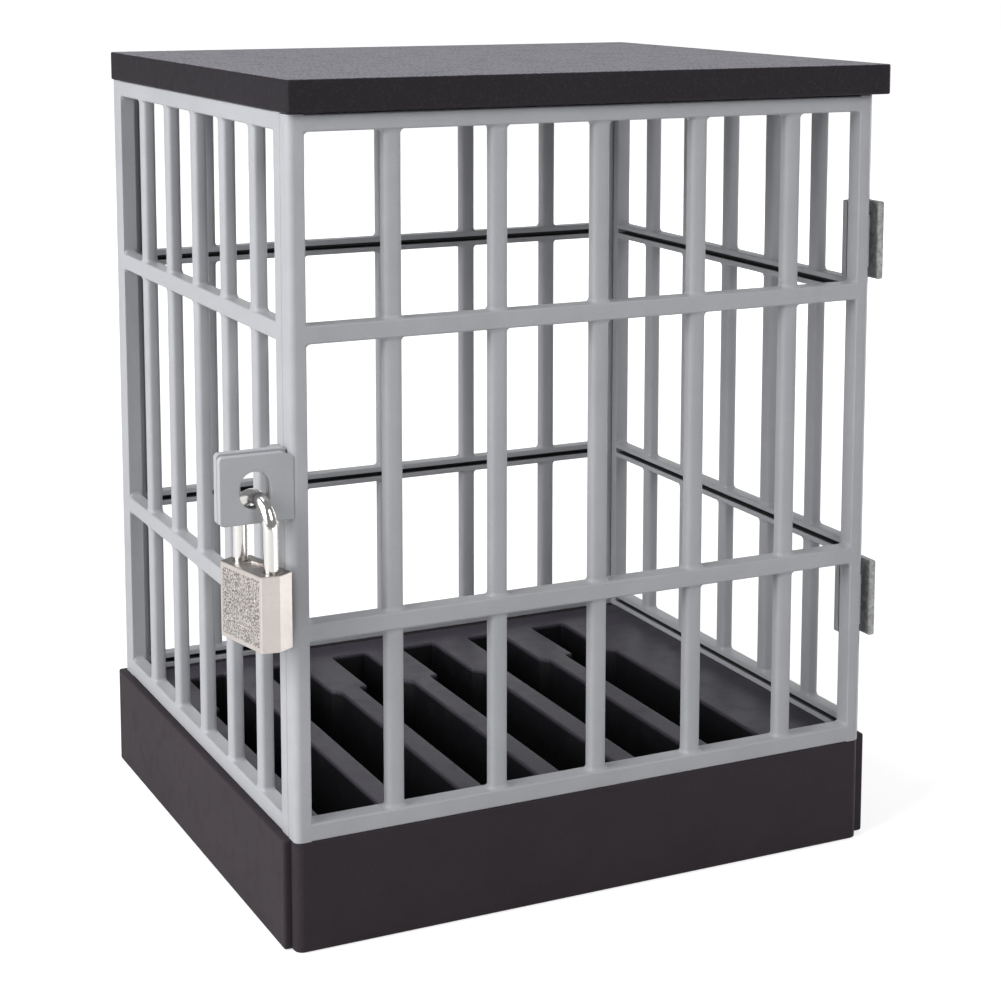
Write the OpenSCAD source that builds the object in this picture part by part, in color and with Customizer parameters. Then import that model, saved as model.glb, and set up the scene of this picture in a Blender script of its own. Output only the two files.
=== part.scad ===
// Phone lock cage: a black plinth with a slotted floor, four grey grille walls, a flat black
// roof, and a grille door that a small padlock holds shut through two ears.
// Millimetres. +X runs right along the door, +Y runs back, +Z is up.
// Modules are drawn from the door's lower left corner on the ground; seated() moves that
// corner so that the origin lies under the middle of the plinth.

/* [Cage] */
// Width over the two side walls
cage_w = 163.2; // [140:0.1:200]
// Depth from the door's front face to the back wall's outer face
cage_d = 142.2; // [138:0.1:170]
// Height of the grilles between plinth and roof
cage_h = 172.7; // [160:0.1:240]
// Thickness of the fixed walls
wall_t = 4.2; // [4:0.1:5.5]
// Height of every rail
rail_h = 4.4; // [3.6:0.1:6]
// Clear height of the lowest and of the highest row of cells
outer_row_h = 44.5; // [36:0.5:50]
// Width of a corner post seen square on
post_w = 4.2; // [4:0.1:4.8]
// Width of the side walls' rear post
rear_post_w = 7; // [5:0.1:10]
// Radius in the corners of a cell
cell_r = 2; // [0.5:0.1:3]
// Thickness of the web that carries those corners
web_t = 2.2; // [1.6:0.1:3]
// Height of the groove along the inside of a rail
groove_h = 1.6; // [1:0.1:2]
// Depth of that groove
groove_d = 1; // [0.6:0.1:1.2]
// Height of the tongues that seat a wall in plinth and roof
tongue_h = 2.6; // [1.6:0.1:3]
// Thickness of those tongues
tongue_t = 1.8; // [1.4:0.1:2.4]

/* [Bars] */
// Number of bars in a wall
bar_n = 5; // [3:1:5]
// Width of a bar
bar_w = 4.6; // [3.6:0.1:5]
// Thickness of a bar
bar_t = 3.6; // [3:0.1:4]
// Radius along a bar's edges
bar_r = 1.5; // [0.8:0.1:1.5]
// First bar of the door and of the back wall, from the cage's left side
wide_first = 26.2; // [20:0.1:30]
// Last bar of the door and of the back wall, from the door's right edge
wide_last = 23.8; // [20:0.1:28]
// First bar of the side walls, from the door's front face
side_first = 26.4; // [22:0.1:30]
// Last bar of the side walls, from the back wall's outer face
side_last = 25.8; // [22:0.1:30]

/* [Door] */
// How far the right wall stands out past the door's edge
door_reveal = 3.2; // [2.8:0.1:3.6]
// Thickness of the door's frame
door_t = 5; // [4.8:0.1:5.4]
// Gap between the door and what it closes on
door_gap = 0.3; // [0.3:0.05:0.6]
// Radius of the door's upright front edges
door_edge_r = 2; // [1:0.1:2.2]
// Radius of the door's rear edge beside the hinges
hinge_edge_r = 1; // [0.8:0.1:1.4]

/* [Hinges] */
// Radius of a hinge pin
pin_r = 1; // [0.8:0.05:1.1]
// Running clearance around a hinge pin
pin_gap = 0.05; // [0.03:0.01:0.09]
// Radius of a hinge pin's head
pin_head_r = 1.6; // [1.4:0.05:1.7]
// Height of a hinge pin's head
pin_head_h = 1.6; // [1:0.1:2]
// Pin axis behind the door's front face
axis_y = 3; // [2.8:0.05:3]
// Pin axis from the door's right edge
axis_in = 1; // [0.9:0.05:1.3]
// Radius of the door's knuckle
knuckle_r = 2; // [1.6:0.05:2]
// Radius of the bracket's arms around the pin
arm_r = 1.8; // [1.5:0.05:1.8]
// Height of one bracket arm
arm_h = 3; // [2:0.1:4]
// Height of a hinge bracket
bracket_h = 20.4; // [16:0.1:26]
// Thickness of the bracket's outer plate
plate_t = 2; // [1.4:0.1:2.4]
// Front edge of the outer plate, behind the door's front face
plate_front = 1; // [1:0.1:3]
// Gap between a bracket and the rail next to it
bracket_gap = 0.4; // [0.3:0.1:2]
// Depth of the seat in the wall's post that takes a bracket
bracket_seat = 2; // [1.4:0.1:2.4]

/* [Hasp ears] */
// Reach of the ears from the cage's left side
ear_w = 17.2; // [15:0.1:22]
// Height of the ears
ear_h = 16.2; // [14:0.1:22]
// Thickness of one ear
ear_t = 2; // [1.6:0.1:2.2]
// Gap between the two ears
ear_gap = 0.4; // [0.3:0.05:0.6]
// Radius of the ears' outer corners
ear_r = 1; // [0.5:0.1:2]
// Bottom of the ears above the plinth
ear_z = 78.8; // [70:0.1:90]
// Radius of the round ends of the upright hole in the ears
ear_hole_r = 3.8; // [3.7:0.1:4.1]
// How much taller than wide that hole is
ear_slot = 1.3; // [1:0.1:1.5]
// Hole from the cage's side
ear_hole_x = 8.6; // [8.4:0.1:9]
// Width of the rear ear's foot on the wall
foot_w = 3.2; // [2:0.1:3.4]
// Length of the peg that holds the rear ear in the wall
peg_l = 1.5; // [1:0.1:2]
// Thickness of that peg
peg_t = 1.8; // [1.2:0.1:2.2]

/* [Roof] */
// Thickness of the roof
roof_h = 7.7; // [6:0.1:14]
// Thickness of the roof's top skin
roof_skin = 2.4; // [1.6:0.1:3]
// Overhang over the door
roof_front = 2; // [1:0.1:6]
// Overhang at each side
roof_side = 0.6; // [0.2:0.1:3]
// Radius of the roof's upright corners
roof_r = 1; // [0.5:0.1:3]
// Width of the solid border that takes the walls
roof_border = 9; // [8:0.1:14]

/* [Plinth] */
// Height of the plinth
plinth_h = 27.3; // [24:0.1:45]
// Thickness of the plinth's sides
plinth_wall = 2.4; // [1.8:0.1:3]
// Thickness of the plinth's deck
deck_t = 4.4; // [3.8:0.1:6]
// Width of the deck around the floor tray
deck_border = 7.6; // [7.2:0.1:9]
// How far the plinth stands out from the cage on the left
plinth_left = 1.9; // [0.2:0.1:2.5]
// How far the plinth stands out from the cage on the right
plinth_right = 0.6; // [0.2:0.1:2.5]
// How far the plinth stands out from the cage at the back
plinth_back = 1.4; // [0.2:0.1:2]
// Thickness of the front panel
front_t = 3.4; // [2:0.1:4]
// Radius of the front panel's upright edges
front_r = 2.2; // [1:0.1:2.2]
// Width of each clip that holds the front panel
clip_w = 14; // [8:0.5:20]
// Thickness of the bottom plate
bottom_t = 2; // [1.6:0.1:3]
// Fit clearance between parts that stay together
fit_gap = 0.15; // [0.1:0.05:0.25]
// Height of each screw boss
boss_h = 12; // [8:0.5:16]
// Radius of a screw boss
boss_r = 2.9; // [2.6:0.1:3]
// Radius of a bottom screw's shank
screw_r = 1.2; // [0.9:0.05:1.4]
// Radius of a bottom screw's head
screw_head_r = 2.4; // [2:0.1:2.6]
// Length of a bottom screw under its head
screw_l = 8; // [5:0.5:8]

/* [Floor] */
// Number of phone slots
slot_n = 6; // [3:1:6]
// Width of a phone slot
slot_w = 15.9; // [12:0.1:16]
// First slot's left side, from the cage's left side
slot_first = 11.4; // [11:0.1:13]
// Last slot's right side, from the cage's right side
slot_last = 25.4; // [24:0.1:28]
// Depth of a phone slot under the floor
slot_depth = 19; // [12:0.1:19]
// Front end of the slots, behind the door's front face
slot_front = 14; // [12:0.5:20]
// Rear end of the slots, from the back wall's outer face
slot_rear = 16.2; // [14:0.1:20]
// How much each side of a slot steps in towards its rear end
slot_step = 2.4; // [1.5:0.1:3]
// Length of the stepped rear part of a slot
slot_step_l = 28; // [20:0.5:35]
// Wall of the pockets under the floor
pocket_wall = 1.2; // [1:0.1:1.6]
// Thickness of the floor
floor_t = 2.2; // [1.6:0.1:2.6]

/* [Padlock] */
// Width of the lock body
lock_w = 21; // [20.6:0.1:24]
// Height of the lock body
lock_h = 18.1; // [18:0.1:24]
// Thickness of the lock body
lock_t = 8.3; // [8.3:0.1:9]
// Rise of the ridge along the lock body's narrow sides
lock_bevel = 1.4; // [0.6:0.1:1.6]
// Radius of the shackle's rod
rod_r = 1.75; // [1.5:0.05:1.8]
// Radius of the shackle's bend on the rod's centre line
bend_r = 6.75; // [6.7:0.05:7]
// Clear height from the lock body to the rod's centre line at the top
shackle_h = 16.4; // [16:0.1:20]
// Turn of the hanging padlock about the upright
lock_yaw = 12; // [0:0.5:12]
// Depth of the shackle's short leg in the body
toe_depth = 6.2; // [6:0.1:6.4]
// Depth of the shackle's long leg in the body
heel_depth = 9.6; // [9:0.1:10]
// Clearance around the shackle's legs
leg_gap = 0.15; // [0.1:0.01:0.2]
// Travel of the shackle when the lock opens
release = 6.6; // [6.5:0.1:6.8]

/* [Lock works] */
// Radius of the plug
plug_r = 3; // [2.8:0.05:3]
// Running clearance around the plug
plug_gap = 0.05; // [0.03:0.01:0.09]
// Plug axis towards the short leg, from the middle of the body
plug_off = 1; // [0.8:0.05:1.1]
// Thickness of the cap under the lock body
cap_t = 1.4; // [1.2:0.1:1.6]
// Radius of the cam pin on the plug
cam_r = 0.6; // [0.5:0.05:0.65]
// Distance of the cam pin from the plug's axis
cam_at = 2.12; // [2:0.01:2.15]
// Height of the latch
latch_h = 2; // [1.8:0.1:2.1]
// Depth that the latch reaches into the shackle
latch_bite = 0.8; // [0.6:0.05:0.8]
// Gap around the latch
latch_gap = 0.15; // [0.1:0.01:0.2]
// Radius of the tumbler pins
tumbler_r = 0.7; // [0.6:0.05:0.75]
// Distance between the tumbler pins
tumbler_pitch = 2.3; // [2:0.1:2.4]
// Number of tumbler pins
tumbler_n = 3; // [2:1:3]

/* [Hidden] */
$fn = 48;
eps = 0.02;
grey = [0.60, 0.61, 0.63];
black = [0.13, 0.12, 0.14];
floor_grey = [0.17, 0.16, 0.18];
nickel = [0.80, 0.79, 0.76];
steel = [0.66, 0.66, 0.68];
brass = [0.78, 0.64, 0.32];

grille_z = plinth_h;
roof_z = grille_z + cage_h;
mid_row_h = cage_h - 4 * rail_h - 2 * outer_row_h;
row_h = [outer_row_h, mid_row_h, outer_row_h];
row_z = [rail_h, 2 * rail_h + outer_row_h, 3 * rail_h + outer_row_h + mid_row_h];
rail_z = [0, rail_h + outer_row_h, 2 * rail_h + outer_row_h + mid_row_h, cage_h - rail_h];

door_w = cage_w - door_reveal;
wide_pitch = (door_w - wide_first - wide_last) / (bar_n - 1);
side_pitch = (cage_d - side_first - side_last) / (bar_n - 1);
side_y = door_t + door_gap;
side_l = cage_d - side_y;
back_l = cage_w - 2 * wall_t;
right_x = cage_w - wall_t;

base_x = -plinth_left;
base_w = plinth_left + cage_w + plinth_right;
base_y = front_t;
base_d = cage_d + plinth_back - base_y;
centre_x = base_x + base_w / 2;
centre_y = base_y + base_d / 2;

axis_x = door_w - axis_in;
upper_z = rail_z[2] + rail_h + bracket_gap;
hinge_mid_z = cage_h / 2;
plate_x = axis_x + axis_y + 0.8;
pin_l = bracket_h;

tray_x = wall_t + fit_gap + deck_border - plinth_wall;
deck_x0 = deck_border;
deck_x1 = cage_w - wall_t - 1;
deck_y0 = side_y + wall_t;
deck_y1 = cage_d - deck_border;
ledge = 2;
slot_l = cage_d - slot_rear - slot_front;
slots_w = cage_w - slot_first - slot_last;
slot_pitch = (slots_w - slot_w) / (slot_n - 1);
pocket_z = plinth_h - slot_depth - pocket_wall;
rib_w = slot_pitch - slot_w;
post_y = side_y - axis_y;
boss_xy = [for (x = [4.9, deck_x1 - 5], y = [9, cage_d - 9]) [x, y]];

ear_hole_z = ear_h / 2 + 0.3;
hang_gap = 0.85;
cap_end = lock_bevel + 0.5;
lock_x = -ear_hole_x + 0.5;
lock_y = ear_t + ear_gap / 2;
rod_z = grille_z + ear_z + ear_hole_z - ear_slot - ear_hole_r + hang_gap + rod_r;
lock_top = rod_z - shackle_h;
leg_y = bend_r;
draw = 2 * cam_at * sin(45);
latch_top = -1.4;
latch_bottom = latch_top - latch_h;
latch_slack = (latch_bite + 0.15) * release / draw;
latch_tip = -leg_y + rod_r - latch_bite;
latch_rear = 0.5 - plug_off + 1;
plug_bottom = -lock_h + cap_t;
plug_top = latch_bottom - 0.3;
tumbler_z = [for (i = [0 : tumbler_n - 1]) -9.6 - i * tumbler_pitch];

// Moves the drawing corner so that the origin is under the middle of the bottom plate.
module seated() {
    translate([-centre_x, -centre_y, 0]) children();
}

// A rectangle with rounded corners, drawn from exact circles and squares.
module round_rect(size, r) {
    translate([r, 0]) square([size[0] - 2 * r, size[1]]);
    translate([0, r]) square([size[0], size[1] - 2 * r]);
    for (x = [r, size[0] - r], y = [r, size[1] - r]) translate([x, y]) circle(r);
}

// A strip whose two front corners, at y = 0, are rounded.
module front_rounded(size, r) {
    translate([r, 0]) square([size[0] - 2 * r, size[1]]);
    translate([0, r]) square([size[0], size[1] - r]);
    intersection() {
        square(size);
        for (x = [r, size[0] - r]) translate([x, r]) circle(r);
    }
}

// One grille panel: u runs along it, its thickness runs from 0 to t, and its inside is at t.
module grille(len, first, pitch, post_a, post_b, t) {
    edges = [for (i = [0 : bar_n]) [
        i == 0 ? post_a : first + (i - 1) * pitch + bar_w / 2,
        i == bar_n ? len - post_b : first + i * pitch - bar_w / 2]];
    translate([0, (t + web_t) / 2, 0]) rotate([90, 0, 0]) linear_extrude(web_t) difference() {
        square([len, cage_h]);
        for (c = [0 : bar_n], r = [0 : 2])
            translate([edges[c][0], row_z[r]])
                round_rect([edges[c][1] - edges[c][0], row_h[r]], cell_r);
    }
    for (i = [0 : bar_n - 1])
        translate([first + i * pitch - bar_w / 2, (t - bar_t) / 2, rail_h / 2])
            linear_extrude(cage_h - rail_h) round_rect([bar_w, bar_t], bar_r);
    cube([post_a, t, cage_h]);
    translate([len - post_b, 0, 0]) cube([post_b, t, cage_h]);
    for (z = rail_z) translate([0, 0, z]) difference() {
        cube([len, t, rail_h]);
        translate([post_a, t - groove_d, (rail_h - groove_h) / 2])
            cube([len - post_a - post_b, groove_d + 1, groove_h]);
    }
}

// Tongues above and below a wall; grow widens them into the grooves that take them.
module tongues(len, grow) {
    for (z = [-tongue_h - grow, cage_h - eps])
        translate([post_w - grow, (wall_t - tongue_t) / 2 - grow, z])
            cube([len - 2 * post_w + 2 * grow, tongue_t + 2 * grow, tongue_h + grow + eps]);
}

// Places a side wall's drawing on the left side, with its inside facing +X.
module on_left() {
    translate([0, side_y, grille_z]) mirror([1, -1, 0]) children();
}

// Places a side wall's drawing on the right side, with its inside facing -X.
module on_right() {
    translate([cage_w, 0, 0]) mirror([1, 0, 0]) on_left() children();
}

// Places the back wall's drawing, with its inside facing the door.
module on_back() {
    translate([wall_t, cage_d, grille_z]) mirror([0, 1, 0]) children();
}

// The grooves in plinth and roof that take the three walls.
module wall_grooves() {
    on_left() tongues(side_l, fit_gap);
    on_right() tongues(side_l, fit_gap);
    on_back() tongues(back_l, fit_gap);
}

// Draws a hinge detail at the upper hinge, or mirrored about mid height at the lower one.
module at_hinge(upper) {
    translate([axis_x, axis_y, grille_z + hinge_mid_z])
        mirror([0, 0, upper ? 0 : 1])
            translate([0, 0, upper_z - hinge_mid_z]) children();
}

// Outline of an ear with its hole, from the cage's side outwards.
module ear_outline(inset) {
    difference() {
        translate([-ear_w, 0]) union() {
            round_rect([ear_w - inset, ear_h], ear_r);
            translate([ear_w / 2, 0]) square([ear_w / 2 - inset, ear_h]);
        }
        hull() for (down = [0, ear_slot])
            translate([-ear_hole_x, ear_hole_z - down]) circle(ear_hole_r);
    }
}

// An ear as a plate whose front face is at y.
module ear(y, inset) {
    translate([0, y + ear_t, grille_z + ear_z]) rotate([90, 0, 0])
        linear_extrude(ear_t) ear_outline(inset);
}

// The peg of the rear ear; grow widens it into the mortise that takes it.
module ear_peg(grow) {
    translate([-eps, side_y + (post_w - peg_t) / 2 - grow, grille_z + ear_z + ear_r - grow])
        cube([peg_l + grow, peg_t + 2 * grow, ear_h - 2 * ear_r + 2 * grow]);
}

module left_wall() {
    color(grey) seated() difference() {
        on_left() {
            grille(side_l, side_first - side_y, side_pitch, post_w, rear_post_w, wall_t);
            tongues(side_l, 0);
        }
        ear_peg(fit_gap);
    }
}

// The rear ear, with a foot on the wall's outer face and a peg in its post.
module wall_ear() {
    ear_y = ear_t + ear_gap;
    color(grey) seated() {
        ear(ear_y, door_gap);
        translate([-foot_w, ear_y, grille_z + ear_z])
            cube([foot_w - door_gap, side_y - ear_y + 1, ear_h]);
        translate([-foot_w, side_y, grille_z + ear_z]) cube([foot_w, post_w, ear_h]);
        ear_peg(0);
    }
}

// The seat of a bracket across the front of the wall's post; grow widens it.
module bracket_seat_block(grow) {
    translate([-arm_r, post_y, -grow])
        cube([cage_w - axis_x + arm_r + grow, bracket_seat + grow, bracket_h + 2 * grow]);
}

// One bracket: a plate outside the wall, a web inside it, a bridge through the post's seat
// and two arms around the pin.
module hinge_bracket(upper) {
    wall_out = cage_w - axis_x;
    wall_in = wall_out - wall_t;
    color(grey) seated() at_hinge(upper) difference() {
        union() {
            translate([plate_x - axis_x, plate_front - axis_y, 0])
                cube([plate_t, post_y + bracket_seat + axis_y - plate_front, bracket_h]);
            translate([wall_out + fit_gap, post_y, 0])
                cube([plate_x - axis_x + plate_t - wall_out - fit_gap, post_w, bracket_h]);
            bracket_seat_block(0);
            translate([-arm_r, post_y, 0]) cube([wall_in - fit_gap + arm_r, post_w, bracket_h]);
            for (z = [0, bracket_h - arm_h]) translate([0, 0, z]) {
                cylinder(r = arm_r, h = arm_h);
                translate([-arm_r, 0, 0]) cube([2 * arm_r, post_y + 1, arm_h]);
            }
        }
        translate([0, 0, -1]) cylinder(r = pin_r + pin_gap, h = bracket_h + 2);
        // the web's far end is chamfered
        translate([-arm_r - 1, post_y + post_w, upper ? 0 : bracket_h])
            rotate([45, 0, 0]) cube([2 * arm_r + 1.5, 2, 2], center = true);
    }
}

module upper_hinge_bracket() { hinge_bracket(true); }
module lower_hinge_bracket() { hinge_bracket(false); }

module right_wall() {
    color(grey) seated() difference() {
        on_right() {
            grille(side_l, side_first - side_y, side_pitch, post_w, rear_post_w, wall_t);
            tongues(side_l, 0);
        }
        for (upper = [true, false]) at_hinge(upper) bracket_seat_block(fit_gap);
    }
}

module back_wall() {
    color(grey) seated() on_back() {
        grille(back_l, wide_first - wall_t, wide_pitch, post_w, post_w, wall_t);
        tongues(back_l, 0);
    }
}

// Room in the door's right stile for a bracket's arm and the pin's head.
module arm_room(z0, z1) {
    room = arm_r + door_gap;
    translate([0, 0, z0]) cylinder(r = room, h = z1 - z0);
    translate([-room, 0, z0]) cube([room + 4, door_t, z1 - z0]);
    translate([0, -room, z0]) cube([4, room + 1, z1 - z0]);
}

// What the rounding of an upright edge at the origin takes away, for a body in the first quadrant.
module edge_waste(r) {
    translate([0, 0, -1]) linear_extrude(cage_h + 2) difference() {
        translate([-1, -1]) square([r + 1, r + 1]);
        translate([r, r]) circle(r);
    }
}

// The door's frame and bars with rounded upright edges.
module door_panel() {
    translate([0, 0, grille_z]) difference() {
        grille(door_w, wide_first, wide_pitch, post_w, post_w, door_t);
        edge_waste(door_edge_r);
        translate([door_w, 0, 0]) mirror([1, 0, 0]) edge_waste(door_edge_r);
        translate([door_w, door_t, 0]) rotate([0, 0, 180]) edge_waste(hinge_edge_r);
        for (z = [-1, cage_h - door_gap])
            translate([-1, -1, z]) cube([door_w + 2, door_t + 2, 1 + door_gap]);
    }
}

module door() {
    color(grey) seated() difference() {
        union() {
            door_panel();
            for (upper = [true, false]) at_hinge(upper)
                translate([0, 0, arm_h + door_gap])
                    cylinder(r = knuckle_r, h = bracket_h - 2 * arm_h - 2 * door_gap);
        }
        ear_lap();
        for (upper = [true, false]) at_hinge(upper) {
            arm_room(-door_gap, arm_h + door_gap);
            arm_room(bracket_h - arm_h - door_gap, bracket_h + pin_head_h + door_gap);
            translate([0, 0, -1]) cylinder(r = pin_r + pin_gap, h = bracket_h + 2);
        }
    }
}

// The recess across the front of the door's left stile that takes the front ear.
module ear_lap() {
    translate([-1, -1, grille_z + ear_z - fit_gap])
        cube([post_w + 2, 1 + ear_t + fit_gap, ear_h + 2 * fit_gap]);
}

// The front ear, lapped into the stile and flush with it.
module door_ear() {
    color(grey) seated() ear(0, -post_w);
}

module hinge_pin(upper) {
    color(steel) seated() at_hinge(upper) {
        cylinder(r = pin_r, h = pin_l);
        translate([0, 0, pin_l]) cylinder(r = pin_head_r, h = pin_head_h);
    }
}

module upper_hinge_pin() { hinge_pin(true); }
module lower_hinge_pin() { hinge_pin(false); }

module roof_cover() {
    x0 = -roof_side;
    w = cage_w + 2 * roof_side;
    d = cage_d + roof_front;
    color(black) seated() difference() {
        translate([x0, -roof_front, roof_z]) linear_extrude(roof_h) round_rect([w, d], roof_r);
        translate([roof_border, roof_border, roof_z - 1])
            cube([cage_w - 2 * roof_border, cage_d - 2 * roof_border, roof_h - roof_skin + 1]);
        wall_grooves();
    }
}

// Clips of the front panel; grow widens them into the slots that take them.
module front_clips(grow) {
    for (f = [0.12, 0.5, 0.88])
        translate([f * door_w - clip_w / 2 - grow, front_t - eps, plinth_h * 0.45 - grow])
            cube([clip_w + 2 * grow, plinth_wall + 1.6, 2 + 2 * grow]);
}

module plinth_front() {
    color(black) seated() {
        linear_extrude(plinth_h) front_rounded([door_w, front_t], front_r);
        front_clips(0);
    }
}

module plinth_shell() {
    color(black) seated() difference() {
        union() {
            difference() {
                translate([base_x, base_y, 0]) cube([base_w, base_d, plinth_h]);
                translate([base_x + plinth_wall, base_y + plinth_wall, -1])
                    cube([base_w - 2 * plinth_wall, base_d - 2 * plinth_wall,
                          plinth_h - deck_t + 1]);
            }
            for (p = boss_xy) translate([p[0], p[1], plinth_h - deck_t - boss_h])
                cylinder(r = boss_r, h = boss_h + 1);
        }
        // opening for the tray, with a rebate for the floor's edge
        translate([deck_x0, deck_y0, -1])
            cube([deck_x1 - deck_x0, deck_y1 - deck_y0, plinth_h + 2]);
        translate([deck_x0 - ledge, deck_y0 - ledge, plinth_h - floor_t])
            cube([deck_x1 - deck_x0 + 2 * ledge, deck_y1 - deck_y0 + 2 * ledge, floor_t + 1]);
        for (p = boss_xy) translate([p[0], p[1], plinth_h - deck_t - boss_h - 1])
            cylinder(r = screw_r, h = boss_h);
        front_clips(fit_gap);
        wall_grooves();
    }
}

// Outline of one phone slot: it steps in square on its left and with a chamfer on its right.
module slot_outline() {
    wide_l = slot_l - slot_step_l;
    polygon([[0, 0], [slot_w, 0], [slot_w, wide_l - slot_step], [slot_w - slot_step, wide_l],
        [slot_w - slot_step, slot_l], [slot_step, slot_l], [slot_step, wide_l], [0, wide_l]]);
}

module floor_tray() {
    block_x = slot_first - pocket_wall;
    block_w = slots_w + 2 * pocket_wall;
    color(floor_grey) seated() difference() {
        union() {
            translate([deck_x0 - ledge + fit_gap, deck_y0 - ledge + fit_gap, plinth_h - floor_t])
                cube([deck_x1 - deck_x0 + 2 * ledge - 2 * fit_gap,
                      deck_y1 - deck_y0 + 2 * ledge - 2 * fit_gap, floor_t]);
            translate([block_x, slot_front - pocket_wall, pocket_z])
                cube([block_w, slot_l + 2 * pocket_wall, slot_depth]);
        }
        for (i = [0 : slot_n - 1])
            translate([slot_first + i * slot_pitch, slot_front, pocket_z + pocket_wall])
                linear_extrude(slot_depth + 1) slot_outline();
        // the ribs are hollow from below
        for (i = [1 : slot_n - 1])
            translate([slot_first + i * slot_pitch - rib_w + pocket_wall, slot_front, pocket_z - 1])
                cube([rib_w - 2 * pocket_wall, slot_l, slot_depth - floor_t + 1]);
    }
}

module bottom_plate() {
    inset = plinth_wall + fit_gap;
    color(black) seated() difference() {
        translate([base_x + inset, base_y + inset, 0])
            cube([base_w - 2 * inset, base_d - 2 * inset, bottom_t]);
        for (p = boss_xy) translate([p[0], p[1], -1]) {
            cylinder(r = screw_r + fit_gap, h = bottom_t + 2);
            cylinder(r = screw_head_r + fit_gap, h = 1 + bottom_t / 2 + fit_gap);
        }
    }
}

module bottom_screws() {
    color(steel) seated() for (p = boss_xy) translate([p[0], p[1], fit_gap]) difference() {
        union() {
            cylinder(r = screw_head_r, h = bottom_t / 2);
            cylinder(r = screw_r, h = bottom_t / 2 + screw_l);
        }
        for (a = [0, 90]) rotate([0, 0, a]) translate([-1.5, -0.25, -1]) cube([3, 0.5, 1.5]);
    }
}

// The padlock's frame: origin on top of the lock body between the legs, Y towards the long
// leg, hanging in the ears.
module hung() {
    seated() translate([lock_x, lock_y, lock_top]) rotate([0, 0, lock_yaw]) children();
}

module shackle() {
    straight = shackle_h - bend_r;
    notch_bottom = latch_bottom - latch_slack;
    color(nickel) hung() difference() {
        union() {
            translate([0, 0, straight]) rotate([90, 0, 90])
                rotate_extrude(angle = 180) translate([bend_r, 0]) circle(rod_r);
            translate([0, -leg_y, -toe_depth]) cylinder(r = rod_r, h = toe_depth + straight);
            translate([0, leg_y, -heel_depth]) cylinder(r = rod_r, h = heel_depth + straight);
        }
        translate([-rod_r - 1, latch_tip - 0.1, notch_bottom])
            cube([2 * rod_r + 2, 3, latch_top + latch_gap - notch_bottom]);
    }
}

// Outline of the lock body seen from above: each narrow side rises to a ridge.
module lock_outline() {
    w = lock_w / 2;
    t = lock_t / 2;
    b = lock_bevel;
    polygon([[-t, b - w], [0, -w], [t, b - w], [t, w - b], [0, w], [-t, w - b]]);
}

// The plug's axis.
module at_plug() {
    translate([0, -plug_off, 0]) children();
}

// One tumbler's axis per pin, pointing away from the plug towards the short leg.
module at_tumblers() {
    for (z = tumbler_z) translate([0, -plug_off, z]) rotate([90, 0, 0]) children();
}

module lock_body() {
    channel_y = latch_tip - 0.5;
    color(nickel) hung() difference() {
        translate([0, 0, -lock_h]) linear_extrude(lock_h) lock_outline();
        translate([0, -leg_y, -toe_depth - 0.6]) cylinder(r = rod_r + leg_gap, h = lock_h);
        translate([0, leg_y, -lock_h + cap_t + 1]) cylinder(r = rod_r + leg_gap, h = lock_h);
        // plug bore, seat for its flange, and seat for the cap
        at_plug() translate([0, 0, plug_bottom - 1])
            cylinder(r = plug_r + plug_gap, h = latch_bottom - plug_bottom + 1);
        at_plug() translate([0, 0, plug_bottom - eps])
            cylinder(r = plug_r + 0.5 + leg_gap, h = 0.8 + leg_gap);
        translate([0, 0, -lock_h - 1]) linear_extrude(cap_t + 1)
            translate([-lock_t / 2 + 1, -lock_w / 2 + cap_end])
                square([lock_t - 2, lock_w - 2 * cap_end]);
        // latch channel, and its mouth into the short leg's bore
        translate([-plug_r, -leg_y + rod_r + 0.5, latch_bottom - latch_gap])
            cube([2 * plug_r, 2 * leg_y - 2 * rod_r - 0.9, latch_h + 2 * latch_gap]);
        translate([-1.5, channel_y, latch_bottom - latch_gap])
            cube([3, 2, latch_h + 2 * latch_gap]);
        at_tumblers() cylinder(r = tumbler_r + leg_gap / 2, h = plug_r + 5.4);
    }
}

module lock_cap() {
    color(nickel) hung() translate([0, 0, -lock_h]) difference() {
        translate([-lock_t / 2 + 1 + leg_gap / 3, -lock_w / 2 + cap_end + leg_gap / 3, 0])
            cube([lock_t - 2 - leg_gap * 2 / 3, lock_w - 2 * cap_end - leg_gap * 2 / 3, cap_t]);
        at_plug() translate([0, 0, -1]) cylinder(r = plug_r - 0.4, h = cap_t + 2);
    }
}

module lock_plug() {
    color(brass) hung() at_plug() difference() {
        union() {
            translate([0, 0, plug_bottom]) cylinder(r = plug_r, h = plug_top - plug_bottom);
            translate([0, 0, plug_bottom]) cylinder(r = plug_r + 0.5, h = 0.7);
            rotate([0, 0, -45]) translate([cam_at, 0, plug_top - 1])
                cylinder(r = cam_r, h = latch_h + 1);
        }
        translate([-0.55, -2.1, plug_bottom - 1]) cube([1.1, 3.6, 9.5]);
        for (z = tumbler_z) translate([0, 0, z]) rotate([90, 0, 0])
            cylinder(r = tumbler_r + leg_gap / 3, h = plug_r + 1);
    }
}

module lock_latch() {
    color(steel) hung() translate([0, 0, latch_bottom]) difference() {
        union() {
            translate([-1.3, latch_tip, 0]) cube([2.6, 3, latch_h]);
            translate([-plug_r + latch_gap, -leg_y + rod_r + 0.7, 0])
                cube([2 * plug_r - 2 * latch_gap, latch_rear + leg_y - rod_r - 0.7, latch_h]);
        }
        // cross slot for the cam pin, open at one side
        translate([0.4, -plug_off - draw / 2 - cam_r - latch_gap, -1])
            cube([plug_r, 2 * cam_r + 2 * latch_gap, latch_h + 2]);
        // pocket for the spring
        translate([-1.4, latch_rear - 0.5, latch_h / 2]) rotate([-90, 0, 0])
            cylinder(r = 0.85, h = 2);
    }
}

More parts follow.
